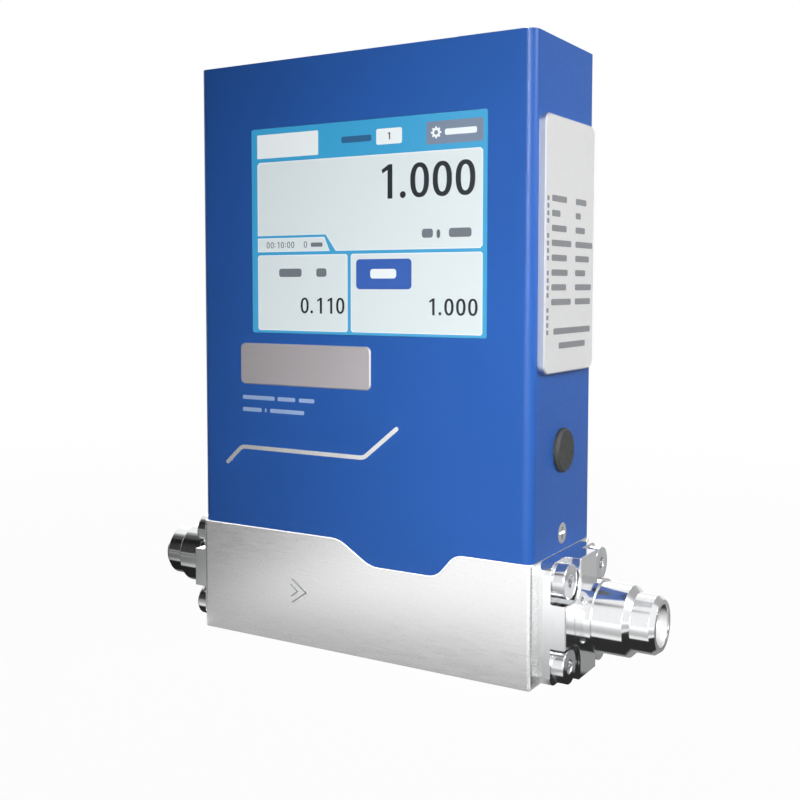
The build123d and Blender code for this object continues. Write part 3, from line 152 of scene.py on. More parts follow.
class Graph:
    """Adds nodes to a node tree and links them in one call each."""

    def __init__(self, tree):
        self.tree = tree

    def add(self, kind, **settings):
        node = self.tree.nodes.new(kind)
        for key, value in settings.items():
            setattr(node, key, value)
        return node

    def link(self, out_socket, in_socket):
        self.tree.links.new(out_socket, in_socket)

    def feed(self, value, in_socket):
        """Links a socket, or sets a plain value."""
        if isinstance(value, bpy.types.NodeSocket):
            self.link(value, in_socket)
        else:
            in_socket.default_value = value

    def place(self, stretch=(1, 1, 1)):
        """The point on the object, in metres, with each axis stretched."""
        coords = self.add("ShaderNodeTexCoord")
        mapping = self.add("ShaderNodeMapping")
        mapping.inputs["Scale"].default_value = stretch
        self.link(coords.outputs["Object"], mapping.inputs["Vector"])
        return mapping.outputs["Vector"]

    def axes(self, vector):
        """The vector's X, Y and Z."""
        node = self.add("ShaderNodeSeparateXYZ")
        self.link(vector, node.inputs["Vector"])
        return node.outputs["X"], node.outputs["Y"], node.outputs["Z"]

    def noise(self, vector, scale, detail=2.0, rough=0.5):
        """A cloudy pattern with about that many clouds to a metre."""
        node = self.add("ShaderNodeTexNoise")
        node.inputs["Scale"].default_value = scale
        node.inputs["Detail"].default_value = detail
        node.inputs["Roughness"].default_value = rough
        self.link(vector, node.inputs["Vector"])
        return node.outputs["Fac"]

    def remap(self, value, from_low, from_high, low, high, **settings):
        """Maps a value's range to the range from low to high, and no further."""
        node = self.add("ShaderNodeMapRange", **settings)
        node.inputs["From Min"].default_value = from_low
        node.inputs["From Max"].default_value = from_high
        node.inputs["To Min"].default_value = low
        node.inputs["To Max"].default_value = high
        self.link(value, node.inputs["Value"])
        return node.outputs["Result"]

    def spread(self, noise, low, high):
        """Spreads the middle of a noise over the range from low to high."""
        return self.remap(noise, NOISE_LOW, NOISE_HIGH, low, high)

    def fade(self, value, from_low, from_high, low, high):
        """Maps a value to the range from low to high with soft ends."""
        return self.remap(value, from_low, from_high, low, high, interpolation_type="SMOOTHSTEP")

    def mix(self, fac, first, second):
        """Mixes two colours."""
        node = self.add("ShaderNodeMix", data_type="RGBA")
        self.feed(fac, node.inputs["Factor"])
        self.feed(first, node.inputs[6])
        self.feed(second, node.inputs[7])
        return node.outputs[2]

    def mix_plain(self, fac, first, second):
        """Mixes two numbers."""
        node = self.add("ShaderNodeMix", data_type="FLOAT")
        self.feed(fac, node.inputs["Factor"])
        self.feed(first, node.inputs[2])
        self.feed(second, node.inputs[3])
        return node.outputs[0]

    def choose(self, fac, first, second):
        """Mixes two shaders."""
        node = self.add("ShaderNodeMixShader")
        self.link(fac, node.inputs[0])
        self.link(first.outputs[0], node.inputs[1])
        self.link(second.outputs[0], node.inputs[2])
        return node

    def math(self, operation, *values):
        """The result of an operation on one or two numbers."""
        node = self.add("ShaderNodeMath", operation=operation)
        for value, in_socket in zip(values, node.inputs):
            self.feed(value, in_socket)
        return node.outputs[0]

    def product(self, first, second):
        return self.math("MULTIPLY", first, second)

    def absolute(self, value):
        return self.math("ABSOLUTE", value)

    def level_way(self, vector):
        """The vector's direction across the floor, of length 1."""
        flat = self.add("ShaderNodeVectorMath", operation="MULTIPLY")
        self.link(vector, flat.inputs[0])
        flat.inputs[1].default_value = (1, 1, 0)
        unit = self.add("ShaderNodeVectorMath", operation="NORMALIZE")
        self.link(flat.outputs["Vector"], unit.inputs[0])
        return unit.outputs["Vector"]

    def toward(self, vector, direction):
        """How far a level vector points in a direction, from -1 to 1."""
        along = self.add("ShaderNodeVectorMath", operation="DOT_PRODUCT")
        self.link(vector, along.inputs[0])
        along.inputs[1].default_value = Vector(direction).normalized()
        return along.outputs["Value"]

    def shiny_rays(self, path):
        """1 for what metal and glass show, and 0 for what the camera or matte surfaces see."""
        return self.math(
            "MAXIMUM", path.outputs["Is Glossy Ray"], path.outputs["Is Transmission Ray"]
        )

    def soft_edges(self, radius):
        """The surface's direction, with sharp edges shown rounded to a radius in millimetres."""
        node = self.add("ShaderNodeBevel", samples=BEVEL_SAMPLES)
        node.inputs["Radius"].default_value = radius * MM
        return node.outputs["Normal"]

    def bump(self, height, strength, depth, normal=None):
        """The surface's direction over a relief; the depth is in millimetres."""
        node = self.add("ShaderNodeBump")
        node.inputs["Strength"].default_value = strength
        node.inputs["Distance"].default_value = depth * MM
        self.link(height, node.inputs["Height"])
        if normal is not None:
            self.link(normal, node.inputs["Normal"])
        return node.outputs["Normal"]


# --- Kinds of surface ----------------------------------------------------------------------
# Relief in millimetres.
GRAIN_DEPTH = 0.02
SCRATCH_DEPTH = 0.01
# How much the roughness changes, as a share of it.
GRAIN_SPREAD = 0.12
SCRATCH_SPREAD = 0.2
# Noise patterns.
CLOUD_SIZE = 8  # how much larger the changes of colour are than the grain
CLOUD_DETAIL = 3.0
GRAIN_DETAIL = 4.0
SCRATCH_DETAIL = 5.0
SCRATCH_ROUGH = 0.6
SCRATCH_SHARE = 0.75  # the share of the scratches in the changes of colour
METAL_CLOUD = 60.0


def start_material(name):
    """A new material with a plain shader, its node graph and that shader."""
    made = bpy.data.materials.new(name)
    made.use_nodes = True
    tree = made.node_tree
    tree.nodes.clear()
    graph = Graph(tree)
    shader = graph.add("ShaderNodeBsdfPrincipled")
    output = graph.add("ShaderNodeOutputMaterial")
    graph.link(shader.outputs["BSDF"], output.inputs["Surface"])
    return made, graph, shader


def finish_surface(graph, shader, base, roughness, normal):
    """Gives a shader its colour, its roughness and the direction that its surface faces."""
    graph.link(base, shader.inputs["Base Color"])
    graph.link(roughness, shader.inputs["Roughness"])
    graph.link(normal, shader.inputs["Normal"])


def varied(graph, noise, colour, vary):
    """The colour, a little darker and lighter from place to place."""
    return graph.mix(graph.spread(noise, 0, 1), shade(colour, 1 - vary), shade(colour, 1 + vary))


def about(graph, noise, middle, share):
    """Values around a middle one, up to a share of it lower and higher."""
    return graph.spread(noise, middle * (1 - share), middle * (1 + share))


def plain(name, colour, roughness, metallic=0.0, grain=600.0, vary=0.08, relief=0.15, edge=0.0):
    """A surface with fine grain: small changes of colour and roughness, and a low bump."""
    made, graph, shader = start_material(name)
    point = graph.place()
    cloud = graph.noise(point, grain / CLOUD_SIZE, CLOUD_DETAIL)
    fine = graph.noise(point, grain, GRAIN_DETAIL)
    normal = graph.soft_edges(edge) if edge else None
    finish_surface(
        graph,
        shader,
        varied(graph, cloud, colour, vary),
        about(graph, fine, roughness, GRAIN_SPREAD),
        graph.bump(fine, relief, GRAIN_DEPTH, normal),
    )
    shader.inputs["Metallic"].default_value = metallic
    return made


def brushed(name, colour, roughness, stretch, grain=900.0, vary=0.12, relief=0.2, edge=0.0):
    """Metal with long fine scratches; stretch is small along the scratches."""
    made, graph, shader = start_material(name)
    streak = graph.noise(graph.place(stretch), grain, SCRATCH_DETAIL, SCRATCH_ROUGH)
    cloud = graph.noise(graph.place(), METAL_CLOUD)
    both = graph.math(
        "ADD", graph.product(streak, SCRATCH_SHARE), graph.product(cloud, 1 - SCRATCH_SHARE)
    )
    normal = graph.soft_edges(edge) if edge else None
    finish_surface(
        graph,
        shader,
        varied(graph, both, colour, vary),
        about(graph, streak, roughness, SCRATCH_SPREAD),
        graph.bump(streak, relief, SCRATCH_DEPTH, normal),
    )
    shader.inputs["Metallic"].default_value = 1.0
    return made


def metal(name, colour, roughness, **texture):
    """Turned, cast or plated metal without a grain that runs one way."""
    return plain(name, colour, roughness, metallic=1.0, **texture)


def glowing(made, colour, strength):
    """Lets a material give some light by itself."""
    shader = next(node for node in made.node_tree.nodes if node.type == "BSDF_PRINCIPLED")
    shader.inputs["Emission Color"].default_value = colour
    shader.inputs["Emission Strength"].default_value = strength
    return made


# --- Materials of the CAD's slots ----------------------------------------------------------
STEEL = srgb(238, 238, 238)
BRIGHT_STEEL = srgb(240, 241, 242)
SCREW_STEEL = srgb(228, 229, 231)
COAT_BLUE = srgb(35, 87, 166)
DISPLAY_BLUE = srgb(62, 164, 214)
LABEL_WHITE = srgb(213, 213, 213)
LABEL_METAL = srgb(170, 178, 196)
# Bare where the label's surface doesn't face along X.
LABEL_EDGE_FADE = (0.5, 0.95, 1.0, 0.0)
DISPLAY_GLOW = 0.5
# How much each axis is stretched, so that scratches run along X, along Z or round X.
ALONG_X = (0.03, 1, 1)
SHORT_ALONG_X = (0.08, 1, 1)
ALONG_Z = (1, 1, 0.03)
AROUND_X = (1, 0.25, 0.25)


def paint_material():
    """Blue satin coat with a very fine orange peel."""
    made, graph, shader = start_material("cover_paint")
    point = graph.place()
    cloud = graph.noise(point, 25.0)
    peel = graph.noise(point, 900.0, 3.0)
    speck = graph.noise(point, 3500.0)
    coat = varied(graph, cloud, COAT_BLUE, 0.04)
    specked = graph.mix(graph.spread(speck, 0, 0.25), coat, shade(COAT_BLUE, 1.15))
    finish_surface(
        graph, shader, specked, graph.spread(peel, 0.36, 0.44), graph.bump(peel, 0.12, GRAIN_DEPTH)
    )
    shader.inputs["Specular IOR Level"].default_value = 0.3
    return made


def label_material():
    """A pale printed face on a metal plate whose edges are bare."""
    made, graph, shader = start_material("label_plastic")
    fine = graph.noise(graph.place(), 500.0, GRAIN_DETAIL)
    surface = graph.add("ShaderNodeNewGeometry")
    outward = graph.absolute(graph.axes(surface.outputs["Normal"])[0])
    edge = graph.fade(outward, *LABEL_EDGE_FADE)
    finish_surface(
        graph,
        shader,
        graph.mix(edge, varied(graph, fine, LABEL_WHITE, 0.02), LABEL_METAL),
        graph.spread(fine, 0.34, 0.42),
        graph.bump(fine, 0.1, GRAIN_DEPTH),
    )
    graph.link(edge, shader.inputs["Metallic"])
    return made


def display_material(name, colour, roughness, **texture):
    """A glossy field of the display, half of whose colour is its own light."""
    made = plain(name, shade(colour, 1 - DISPLAY_GLOW), roughness, relief=0.01, **texture)
    return glowing(made, colour, DISPLAY_GLOW)


def slot_materials():
    """The material of each slot in the record, and of nodes that have their own."""
    made = (
        brushed("block_steel", STEEL, 0.3, SHORT_ALONG_X, 2600.0, vary=0.03, relief=0.03, edge=0.35),
        brushed("polished_steel", BRIGHT_STEEL, 0.1, AROUND_X, vary=0.03, relief=0.05, edge=0.2),
        brushed("sheet_steel", srgb(186, 188, 190), 0.38, ALONG_X),
        brushed("badge_metal", srgb(204, 199, 202), 0.36, SHORT_ALONG_X, 2600.0, vary=0.03, relief=0.05),
        brushed("sensor_aluminium", srgb(204, 205, 208), 0.4, ALONG_Z),
        paint_material(),
        label_material(),
        display_material("display_glass", DISPLAY_BLUE, 0.15, grain=80.0, vary=0.03),
        metal("screw_steel", SCREW_STEEL, 0.14, grain=1200.0, relief=0.05),
        metal("flange_screws", SCREW_STEEL, 0.12, grain=1200.0, relief=0.04, edge=0.6),
        metal("trim_metal", srgb(240, 240, 238), 0.25, grain=1500.0, vary=0.03, relief=0.04),
        metal("connector_metal", srgb(200, 200, 198), 0.3),
        metal("pin_gold", srgb(222, 180, 96), 0.22),
        metal("seal_nickel", srgb(198, 192, 178), 0.3),
        metal("sintered_steel", srgb(150, 148, 144), 0.65, grain=2500.0, relief=0.8),
        metal("spring_steel", srgb(180, 182, 186), 0.25),
        metal("copper_wire", srgb(196, 118, 76), 0.32, grain=2500.0, relief=0.6),
        metal("magnetic_steel", srgb(170, 170, 172), 0.3),
        plain("display_panel", srgb(60, 64, 68), 0.45),
        plain("circuit_board", srgb(24, 88, 52), 0.4, grain=900.0),
        plain("rubber_black", srgb(44, 46, 45), 0.55, grain=900.0, relief=0.3),
        plain("connector_plastic", srgb(30, 30, 32), 0.5),
        plain("cable_film", srgb(196, 188, 168), 0.5),
        plain("seat_polymer", srgb(224, 222, 214), 0.5),
        plain("bobbin_plastic", srgb(48, 48, 50), 0.5),
    )
    return {base_name(material): material for material in made}


def base_name(material):
    """The material's name without the number that Blender adds to a name in use."""
    return material.name.split(".")[0]


def dress_frame(materials):
    """Gives every CAD node the material of its own name, or else of its slot in the record."""
    for name, item in nodes.items():
        for held in item.material_slots:
            held.material = materials[name if name in materials else base_name(held.material)]


# --- The valve's flat spring ---------------------------------------------------------------
def make_flexing_spring():
    """A copy of the flat spring, with a mesh of its own, that rides on the housing in place of the CAD's
    spring.
    """
    spring = bpy.data.objects.new("flexing_spring", nodes["flat_spring"].data.copy())
    bpy.context.scene.collection.objects.link(spring)
    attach(spring, HOUSING)
    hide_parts("flat_spring")
    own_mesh(spring)


# --- Turned walls of the fittings' sockets -------------------------------------------------
LINING_STEPS = 48
# Depth from the mouth and radius: the inner face, then back along the outer one.
LINING_PROFILE = ((0.25, 5.04), (8.95, 5.04), (8.95, 5.09), (0.25, 5.09))
# The sleeve's painted glow: it gives light of its own grey, though it is no lamp.
LINING_PAINTED_GLOW = 0.3
LINING_TURNING = (1, 0.1, 0.1)
# Fades, in metres, of painted shade: brighter from the deep end to the mouth, and dark under the roof.
LINING_MOUTH_SHADE_FADE = (0.0714, 0.0736, 0.02, 0.6)
LINING_ROOF_SHADE_FADE = (0.016, 0.019, 1.0, 0.05)


def bore_light_and_shade_material():
    """Turned metal with painted shade, darker with depth from the mouth of the bore and under its roof,
    and a painted glow.
    """
    made, graph, shader = start_material("bore_lining")
    x, _, z = graph.axes(graph.place())
    turned = graph.noise(graph.place(LINING_TURNING), 2500.0)
    # Painted shade: darker deep in the bore and under its roof.
    lit = graph.product(
        graph.fade(graph.absolute(x), *LINING_MOUTH_SHADE_FADE), graph.fade(z, *LINING_ROOF_SHADE_FADE)
    )
    level = graph.product(lit, graph.spread(turned, 0.9, 1.05))
    grey = graph.add("ShaderNodeCombineColor")
    for socket in ("Red", "Green", "Blue"):
        graph.link(level, grey.inputs[socket])
    finish_surface(
        graph,
        shader,
        grey.outputs["Color"],
        graph.spread(turned, 0.3, 0.45),
        graph.bump(turned, 0.1, SCRATCH_DEPTH),
    )
    # The painted glow, in the same grey.
    graph.link(grey.outputs["Color"], shader.inputs["Emission Color"])
    shader.inputs["Emission Strength"].default_value = LINING_PAINTED_GLOW
    shader.inputs["Metallic"].default_value = 0.5
    return made


def make_bore_light_and_shade():
    """The turned wall of each fitting's socket, as a thin sleeve just inside it that carries painted
    light and shade.
    """
    material = bore_light_and_shade_material()
    turns = [2 * math.pi * step / LINING_STEPS for step in range(LINING_STEPS)]
    for node, side in (("outlet_fitting", 1), ("inlet_fitting", -1)):
        low, high = low_corner(node), high_corner(node)
        centre_z = (low[2] + high[2]) / 2
        mouth_x = side * max(abs(low[0]), abs(high[0]))
        shape = bmesh.new()
        rings = []
        for depth, radius in LINING_PROFILE:
            x = mouth_x - side * depth
            ring = [(x, radius * math.cos(turn), centre_z + radius * math.sin(turn)) for turn in turns]
            rings.append([shape.verts.new(Vector(point) * MM) for point in ring])
        skin_loop(shape, rings, smooth=True)
        add_piece(f"{node}_bore_lining", shape, material)


# --- Painted highlight on the block's edge -------------------------------------------------
BLOCK_CORNER = 1.0  # radius of the block's upright corners
BLOCK_EDGE = 0.3  # its edge break under the cover
# Across the edge break: up along the wall, and out from it.
BEAD_PROFILE = ((0.0, -0.05), (0.0, 0.02), (0.15, 0.1), (0.3, 0.02), (0.3, -0.05))
# The bead's painted highlight: it glows white, though it is no lamp.
BEAD_HIGHLIGHT_GLOW = 0.65


def block_rim():
    """The block's top edge, as the points where its walls meet the edge break, in turn."""
    high = high_corner("base_block")
    flat_x, flat_y = high[0] - BLOCK_CORNER, high[1] - BLOCK_CORNER
    rim = {}
    for vertex in nodes["base_block"].data.vertices:
        point = vertex.co / MM
        across = math.copysign(max(abs(point.x) - flat_x, 0), point.x)
        along = math.copysign(max(abs(point.y) - flat_y, 0), point.y)
        out = Vector((across, along, 0))
        on_wall = out.length > 0.99 * BLOCK_CORNER
        if on_wall and high[2] / 2 < point.z < high[2] - BLOCK_EDGE / 2:
            rim[round(point.x, 2), round(point.y, 2)] = (point, out.normalized())
    return sorted(rim.values(), key=lambda entry: math.atan2(entry[0].y, entry[0].x))


def make_edge_highlight_bead():
    """A painted highlight along the steel block's edge break, under the cover and along its tongue: a
    thin glowing bead.
    """
    rim = block_rim()
    shape = bmesh.new()
    rows = []
    for index, (point, out) in enumerate(rim):
        run = rim[(index + 1) % len(rim)][0] - rim[index - 1][0]
        up = out.cross(run).normalized()
        up = up if up.z > 0 else -up
        rows.append(
            [shape.verts.new((point + up * rise + out * proud) * MM) for rise, proud in BEAD_PROFILE]
        )
    skin_loop(shape, rows)
    # Pale and glowing white: a painted highlight.
    material = plain("block_edge", srgb(245, 245, 245), 0.3, metallic=0.4, vary=0.02)
    add_piece("block_edge_highlight_bead", shape, glowing(material, WHITE, BEAD_HIGHLIGHT_GLOW))


# --- Flat shapes ---------------------------------------------------------------------------
RIGHT = (1, 0, 0)
FRONT = (0, -1, 0)
BACK = (0, 1, 0)
SUNK = 0.01  # how far a flat piece reaches into its face


class Face:
    """A plane of the housing that carries flat pieces: u runs right, v up, out of the face."""

    def __init__(self, origin, right, out):
        self.origin = Vector(origin)
        self.right = Vector(right)
        self.up = Vector((0, 0, 1))
        self.out = Vector(out)

    def point(self, u, v, lift):
        return (self.origin + self.right * u + self.up * v + self.out * lift) * MM


def plate(name, face, outlines, lift, material):
    """Thin plates on a face: each outline runs anticlockwise; a ring is a pair of outlines."""
    shape = bmesh.new()
    for outline in outlines:
        rings = outline if isinstance(outline, tuple) else (outline,)
        bottom, top = (
            [[shape.verts.new(face.point(u, v, level)) for u, v in ring] for ring in rings]
            for level in (-SUNK, lift)
        )
        for low, high in zip(bottom, top):
            for index in range(len(low)):
                after = (index + 1) % len(low)
                side = (low[index], low[after], high[after], high[index])
                shape.faces.new(side if low is bottom[0] else side[::-1])
        for level, turn in ((top, 1), (bottom, -1)):
            if len(rings) == 1:
                shape.faces.new(level[0][::turn])
                continue
            outer, inner = level
            for index in range(len(outer)):
                after = (index + 1) % len(outer)
                cap = (outer[index], outer[after], inner[after], inner[index])
                shape.faces.new(cap[::turn])
    shape.normal_update()
    bmesh.ops.triangulate(shape, faces=[f for f in shape.faces if len(f.verts) > 4])
    add_piece(name, shape, material)


def around(u, v, radius, degrees):
    """The point at an angle on a circle."""
    angle = math.radians(degrees)
    return (u + radius * math.cos(angle), v + radius * math.sin(angle))


def rounded(u0, u1, v0, v1, radius, steps=5):
    """An anticlockwise rounded rectangle."""
    points = []
    for u, v, start in ((u1, v0, -90), (u1, v1, 0), (u0, v1, 90), (u0, v0, 180)):
        centre_u = u - radius if u == u1 else u + radius
        centre_v = v - radius if v == v1 else v + radius
        for step in range(steps + 1):
            points.append(around(centre_u, centre_v, radius, start + 90 * step / steps))
    return points


def shrunk(points, edge):
    """The outline moved inwards by an edge, taken from its own box and centre."""
    us = [u for u, _ in points]
    vs = [v for _, v in points]
    centre_u, centre_v = (min(us) + max(us)) / 2, (min(vs) + max(vs)) / 2
    scale_u = 1 - 2 * edge / (max(us) - min(us))
    scale_v = 1 - 2 * edge / (max(vs) - min(vs))
    return [(centre_u + (u - centre_u) * scale_u, centre_v + (v - centre_v) * scale_v) for u, v in points]


def oval(u, v, half_width, half_height, steps=32, power=1.0):
    """An anticlockwise oval; a power below 1 squares it off."""
    points = []
    for step in range(steps):
        angle = 2 * math.pi * step / steps
        cos, sin = math.cos(angle), math.sin(angle)
        points.append(
            (
                u + half_width * math.copysign(abs(cos) ** power, cos),
                v + half_height * math.copysign(abs(sin) ** power, sin),
            )
        )
    return points


def bars(rows, height):
    """Plain rounded bars that stand where words would be: (start, end, base) each."""
    return [rounded(start, end, base, base + height, 0.3 * height, 3) for start, end, base in rows]


def chevron(u, v, length, half_height, width):
    """An arrow head that points right, drawn with a line of one width."""
    return [
        (u, v - half_height),
        (u + width * 1.2, v - half_height),
        (u + length, v),
        (u + width * 1.2, v + half_height),
        (u, v + half_height),
        (u + length - width * 1.7, v),
    ]


def gear(u, v, outer, root, hole, teeth=8):
    """A cog outline with a round hole."""
    rim, inner = [], []
    for index in range(teeth):
        for turn, radius in ((-15, root), (-8, outer), (8, outer), (15, root)):
            degrees = 360 / teeth * index + turn
            rim.append(around(u, v, radius, degrees))
            inner.append(around(u, v, hole, degrees))
    return (rim, inner)


# --- Plain figures -------------------------------------------------------------------------
# All as shares of a figure's height.
FIGURE_WIDTH = 0.62
FIGURE_STROKE = 0.165
FIGURE_PITCH = 0.74
SMALL_PITCH = 0.78
POINT_PITCH = 0.36
COLON_PITCH = 0.42


def zero(right, base, height):
    """The figure 0, a ring whose outlines are slightly squared."""
    half_width, half_height = FIGURE_WIDTH * height / 2, height / 2
    stroke = FIGURE_STROKE * height
    u, v = right - half_width, base + half_height
    outer = oval(u, v, half_width, half_height, power=0.86)
    inner = oval(u, v, half_width - stroke, half_height - 0.8 * stroke, power=0.86)
    return (outer, inner)


def one(right, base, height):
    """The figure 1, a stem with a short flag."""
    stroke = FIGURE_STROKE * height
    stem = right - 0.2 * FIGURE_WIDTH * height
    top = base + height
    return [
        (stem - stroke, base),
        (stem, base),
        (stem, top),
        (stem - 0.75 * stroke, top),
        (stem - 0.37 * height, top - 0.15 * height),
        (stem - 0.34 * height, top - 0.26 * height),
        (stem - stroke, top - 0.16 * height),
    ]


def number(text, right, base, height, pitch=FIGURE_PITCH):
    """Plain figures made of 0, 1, points and colons, set from the right edge leftwards."""
    shapes = []
    edge = right
    for sign in reversed(text):
        if sign == ".":
            dot = 0.1 * height
            shapes.append(oval(edge - 0.13 * height, base + dot, dot, dot, 16))
            edge -= POINT_PITCH * height
        elif sign == ":":
            dot = 0.09 * height
            for rise in (0.25, 0.7):
                shapes.append(oval(edge - 0.16 * height, base + rise * height, dot, dot, 12))
            edge -= COLON_PITCH * height
        else:
            shapes.append((zero if sign == "0" else one)(edge, base, height))
            edge -= pitch * height
    return shapes


# --- Touch display -------------------------------------------------------------------------
# How far each layer stands out of the glass.
EDGE_LIFT = 0.02
FIELD_LIFT = 0.035
SIGN_LIFT = 0.05
BUTTON_SIGN_LIFT = 0.07
PANEL_CORNER = 0.7
PANEL_EDGE = 0.22
# Outlines and boxes (left, right, bottom, top) from the lower left corner of the glass.
MAIN_PANEL = [
    (1.95, 25.85),
    (23.95, 25.85),
    (27.1, 21.55),
    (68.4, 21.55),
    (69.05, 22.2),
    (69.05, 44.65),
    (68.4, 45.3),
    (2.6, 45.3),
    (1.95, 44.65),
]
TIMER_TAB = [(1.95, 21.55), (25.2, 21.55), (23.55, 25.2), (1.95, 25.2)]
TOTAL_PANEL = (1.95, 30.7, 0.7, 20.7)
SET_PANEL = (31.7, 69.1, 0.7, 20.7)
NAME_BOX = (1.95, 21.7, 46.35, 52.6)
ADDRESS_BOX = (39.35, 46.8, 47.7, 51.6)
MENU_BUTTON = (53.7, 69.1, 46.8, 52.3)
SET_BUTTON = (33.35, 49.6, 11.7, 19.3)
# Figures: text, right edge, base, height and pitch.
READINGS = (
    ("1.000", 67.05, 34.2, 8.5, FIGURE_PITCH),
    ("0.110", 29.75, 5.35, 4.15, SMALL_PITCH),
    ("1.000", 67.85, 5.35, 4.15, SMALL_PITCH),
    ("1", 43.6, 48.8, 1.8, FIGURE_PITCH),
)
TIMER = (
    ("00:10:00", 14.0, 22.5, 1.7, SMALL_PITCH),
    ("0", 18.1, 22.5, 1.7, FIGURE_PITCH),
)
# Bars in place of words: start, end and base, and the height of a row's bars.
UNIT_BARS = ((52.5, 55.6, 24.3), (56.6, 57.6, 24.1), (60.0, 66.1, 24.3))
TOTAL_BARS = ((9.0, 16.3, 14.9), (21.0, 24.2, 14.9))
WORD_HEIGHT = 2.2
TIMER_BARS = ((19.3, 23.0, 22.7),)
TIMER_WORD_HEIGHT = 1.1
ADDRESS_BARS = ((28.9, 37.9, 48.8),)
ADDRESS_WORD_HEIGHT = 1.6
MENU_BARS = ((58.8, 67.4, 48.8),)
MENU_WORD_HEIGHT = 1.5
SET_BARS = ((37.6, 45.2, 14.4),)
SET_WORD_HEIGHT = 2.4


def figures(rows):
    """The shapes of several numbers."""
    return [shape for row in rows for shape in number(*row)]


def make_display(shades):
    face = Face(low_corner("display_glass"), RIGHT, FRONT)

    def show(name, outlines, lift, colour):
        plate(name, face, outlines, lift, shades[colour])

    panels = [
        MAIN_PANEL,
        TIMER_TAB,
        rounded(*TOTAL_PANEL, PANEL_CORNER),
        rounded(*SET_PANEL, PANEL_CORNER),
    ]
    show("display_panel_edges", panels, EDGE_LIFT, "white")
    show("display_panels", [shrunk(panel, PANEL_EDGE) for panel in panels], FIELD_LIFT, "panel")
    boxes = [rounded(*NAME_BOX, 0.2), rounded(*ADDRESS_BOX, 0.5)]
    show("display_boxes", boxes, FIELD_LIFT, "white")
    show("display_menu_button", [rounded(*MENU_BUTTON, 0.5)], FIELD_LIFT, "grey")
    show("display_set_button", [rounded(*SET_BUTTON, 1.0)], SIGN_LIFT, "button")
    show("display_readings", figures(READINGS), SIGN_LIFT, "ink")
    show("display_timer", figures(TIMER), SIGN_LIFT, "soft_ink")
    words = bars(UNIT_BARS + TOTAL_BARS, WORD_HEIGHT) + bars(TIMER_BARS, TIMER_WORD_HEIGHT)
    show("display_words", words, SIGN_LIFT, "word_ink")
    show("display_address_word", bars(ADDRESS_BARS, ADDRESS_WORD_HEIGHT), FIELD_LIFT, "blue_ink")
    menu = [gear(56.4, 49.6, outer=1.45, root=1.1, hole=0.55)] + bars(MENU_BARS, MENU_WORD_HEIGHT)
    show("display_menu_mark", menu, SIGN_LIFT, "white")
    show("display_set_word", bars(SET_BARS, SET_WORD_HEIGHT), BUTTON_SIGN_LIFT, "white")


# --- Print on the cover, the label and the block -------------------------------------------
PRINT_LIFT = 0.02
# Bars in place of words, from the lower left corner of the badge: start, end and base.
FRONT_ROWS = (
    (0.4, 11.2, -4.2),
    (12.2, 18.0, -4.2),
    (19.2, 24.2, -4.2),
    (0.4, 6.8, -7.5),
    (7.9, 8.5, -7.5),
    (9.7, 20.9, -7.5),
)
FRONT_BAR = 1.1
# Bars on the label: height of the row's middle, then the ends of each bar from the label's edge.
LABEL_ROWS = (
    (117.0, (3.7, 12.8), (18.6, 25.6)),
    (113.5, (3.7, 8.8), (18.6, 21.9)),
    (110.0, (3.7, 12.8), (18.6, 24.8)),
    (106.5, (3.7, 15.9), (18.6, 30.0)),
    (103.0, (3.7, 13.1), (18.6, 27.8)),
    (99.5, (3.7, 13.7), (18.6, 25.3)),
    (96.0, (3.7, 12.8), (18.6, 29.4)),
    (92.5, (3.7, 15.9), (18.6, 28.9)),
    (85.5, (5.2, 29.0)),
    (82.0, (8.6, 25.6)),
)
LABEL_BAR = 1.5
# The upright column of dashes at the label's edge; the last place of each group is empty.
DASH_LEFT, DASH_RIGHT = 0.9, 2.1
DASH_START = 84.8
DASH_LENGTH = 1.1
DASH_PITCH = 1.75
DASH_PLACES = 19
DASH_GROUP = 5
# Arrow heads on the block: start, middle height, length, half height and width of line.
# The engraved arrows' strokes are darker grey: painted shade standing for the grooves.
ARROWS = ((-19.8, 14.5, 5.2, 3.2, 0.4), (-20.2, 14.5, 2.8, 1.7, 0.35))
ARROW_LIFT = 0.06
# Pale copies of the arrow heads, set off right and down: the arrows' painted highlight.
ARROW_HIGHLIGHTS = ((-19.3, 14.3, 5.4, 3.1, 0.4), (-19.8, 14.3, 3.0, 1.6, 0.35))
ARROW_HIGHLIGHT_LIFT = 0.05


def make_front_print(shades):
    badge = low_corner("badge_plate")
    front_y = low_corner("display_glass")[1]
    face = Face((badge[0], front_y, badge[2]), RIGHT, FRONT)
    rows = bars(FRONT_ROWS, FRONT_BAR)
    plate("front_print", face, rows, PRINT_LIFT, shades["pale_print"])


def make_label_print(shades):
    low, high = low_corner("label_plate"), high_corner("label_plate")
    face = Face((high[0], low[1], 0), BACK, RIGHT)
    rows = [
        (start, end, middle - LABEL_BAR / 2) for middle, *spans in LABEL_ROWS for start, end in spans
    ]
    ink = shades["label_ink"]
    plate("label_print", face, bars(rows, LABEL_BAR), PRINT_LIFT, ink)
    dashes = []
    for index in range(DASH_PLACES):
        if index % DASH_GROUP < DASH_GROUP - 1:
            base = DASH_START + DASH_PITCH * index
            dashes.append(rounded(DASH_LEFT, DASH_RIGHT, base, base + DASH_LENGTH, 0.2, 2))
    plate("label_column", face, dashes, PRINT_LIFT, ink)


def make_flow_arrows(shades):
    face = Face((0, low_corner("base_block")[1], 0), RIGHT, FRONT)
    # Darker strokes as painted shade, then pale copies as painted highlight.
    for name, heads, lift, colour in (
        ("flow_arrows", ARROWS, ARROW_LIFT, "engraved"),
        ("flow_arrow_highlights", ARROW_HIGHLIGHTS, ARROW_HIGHLIGHT_LIFT, "arrow_highlight"),
    ):
        outlines = [chevron(*head) for head in heads]
        plate(name, face, outlines, lift, shades[colour])


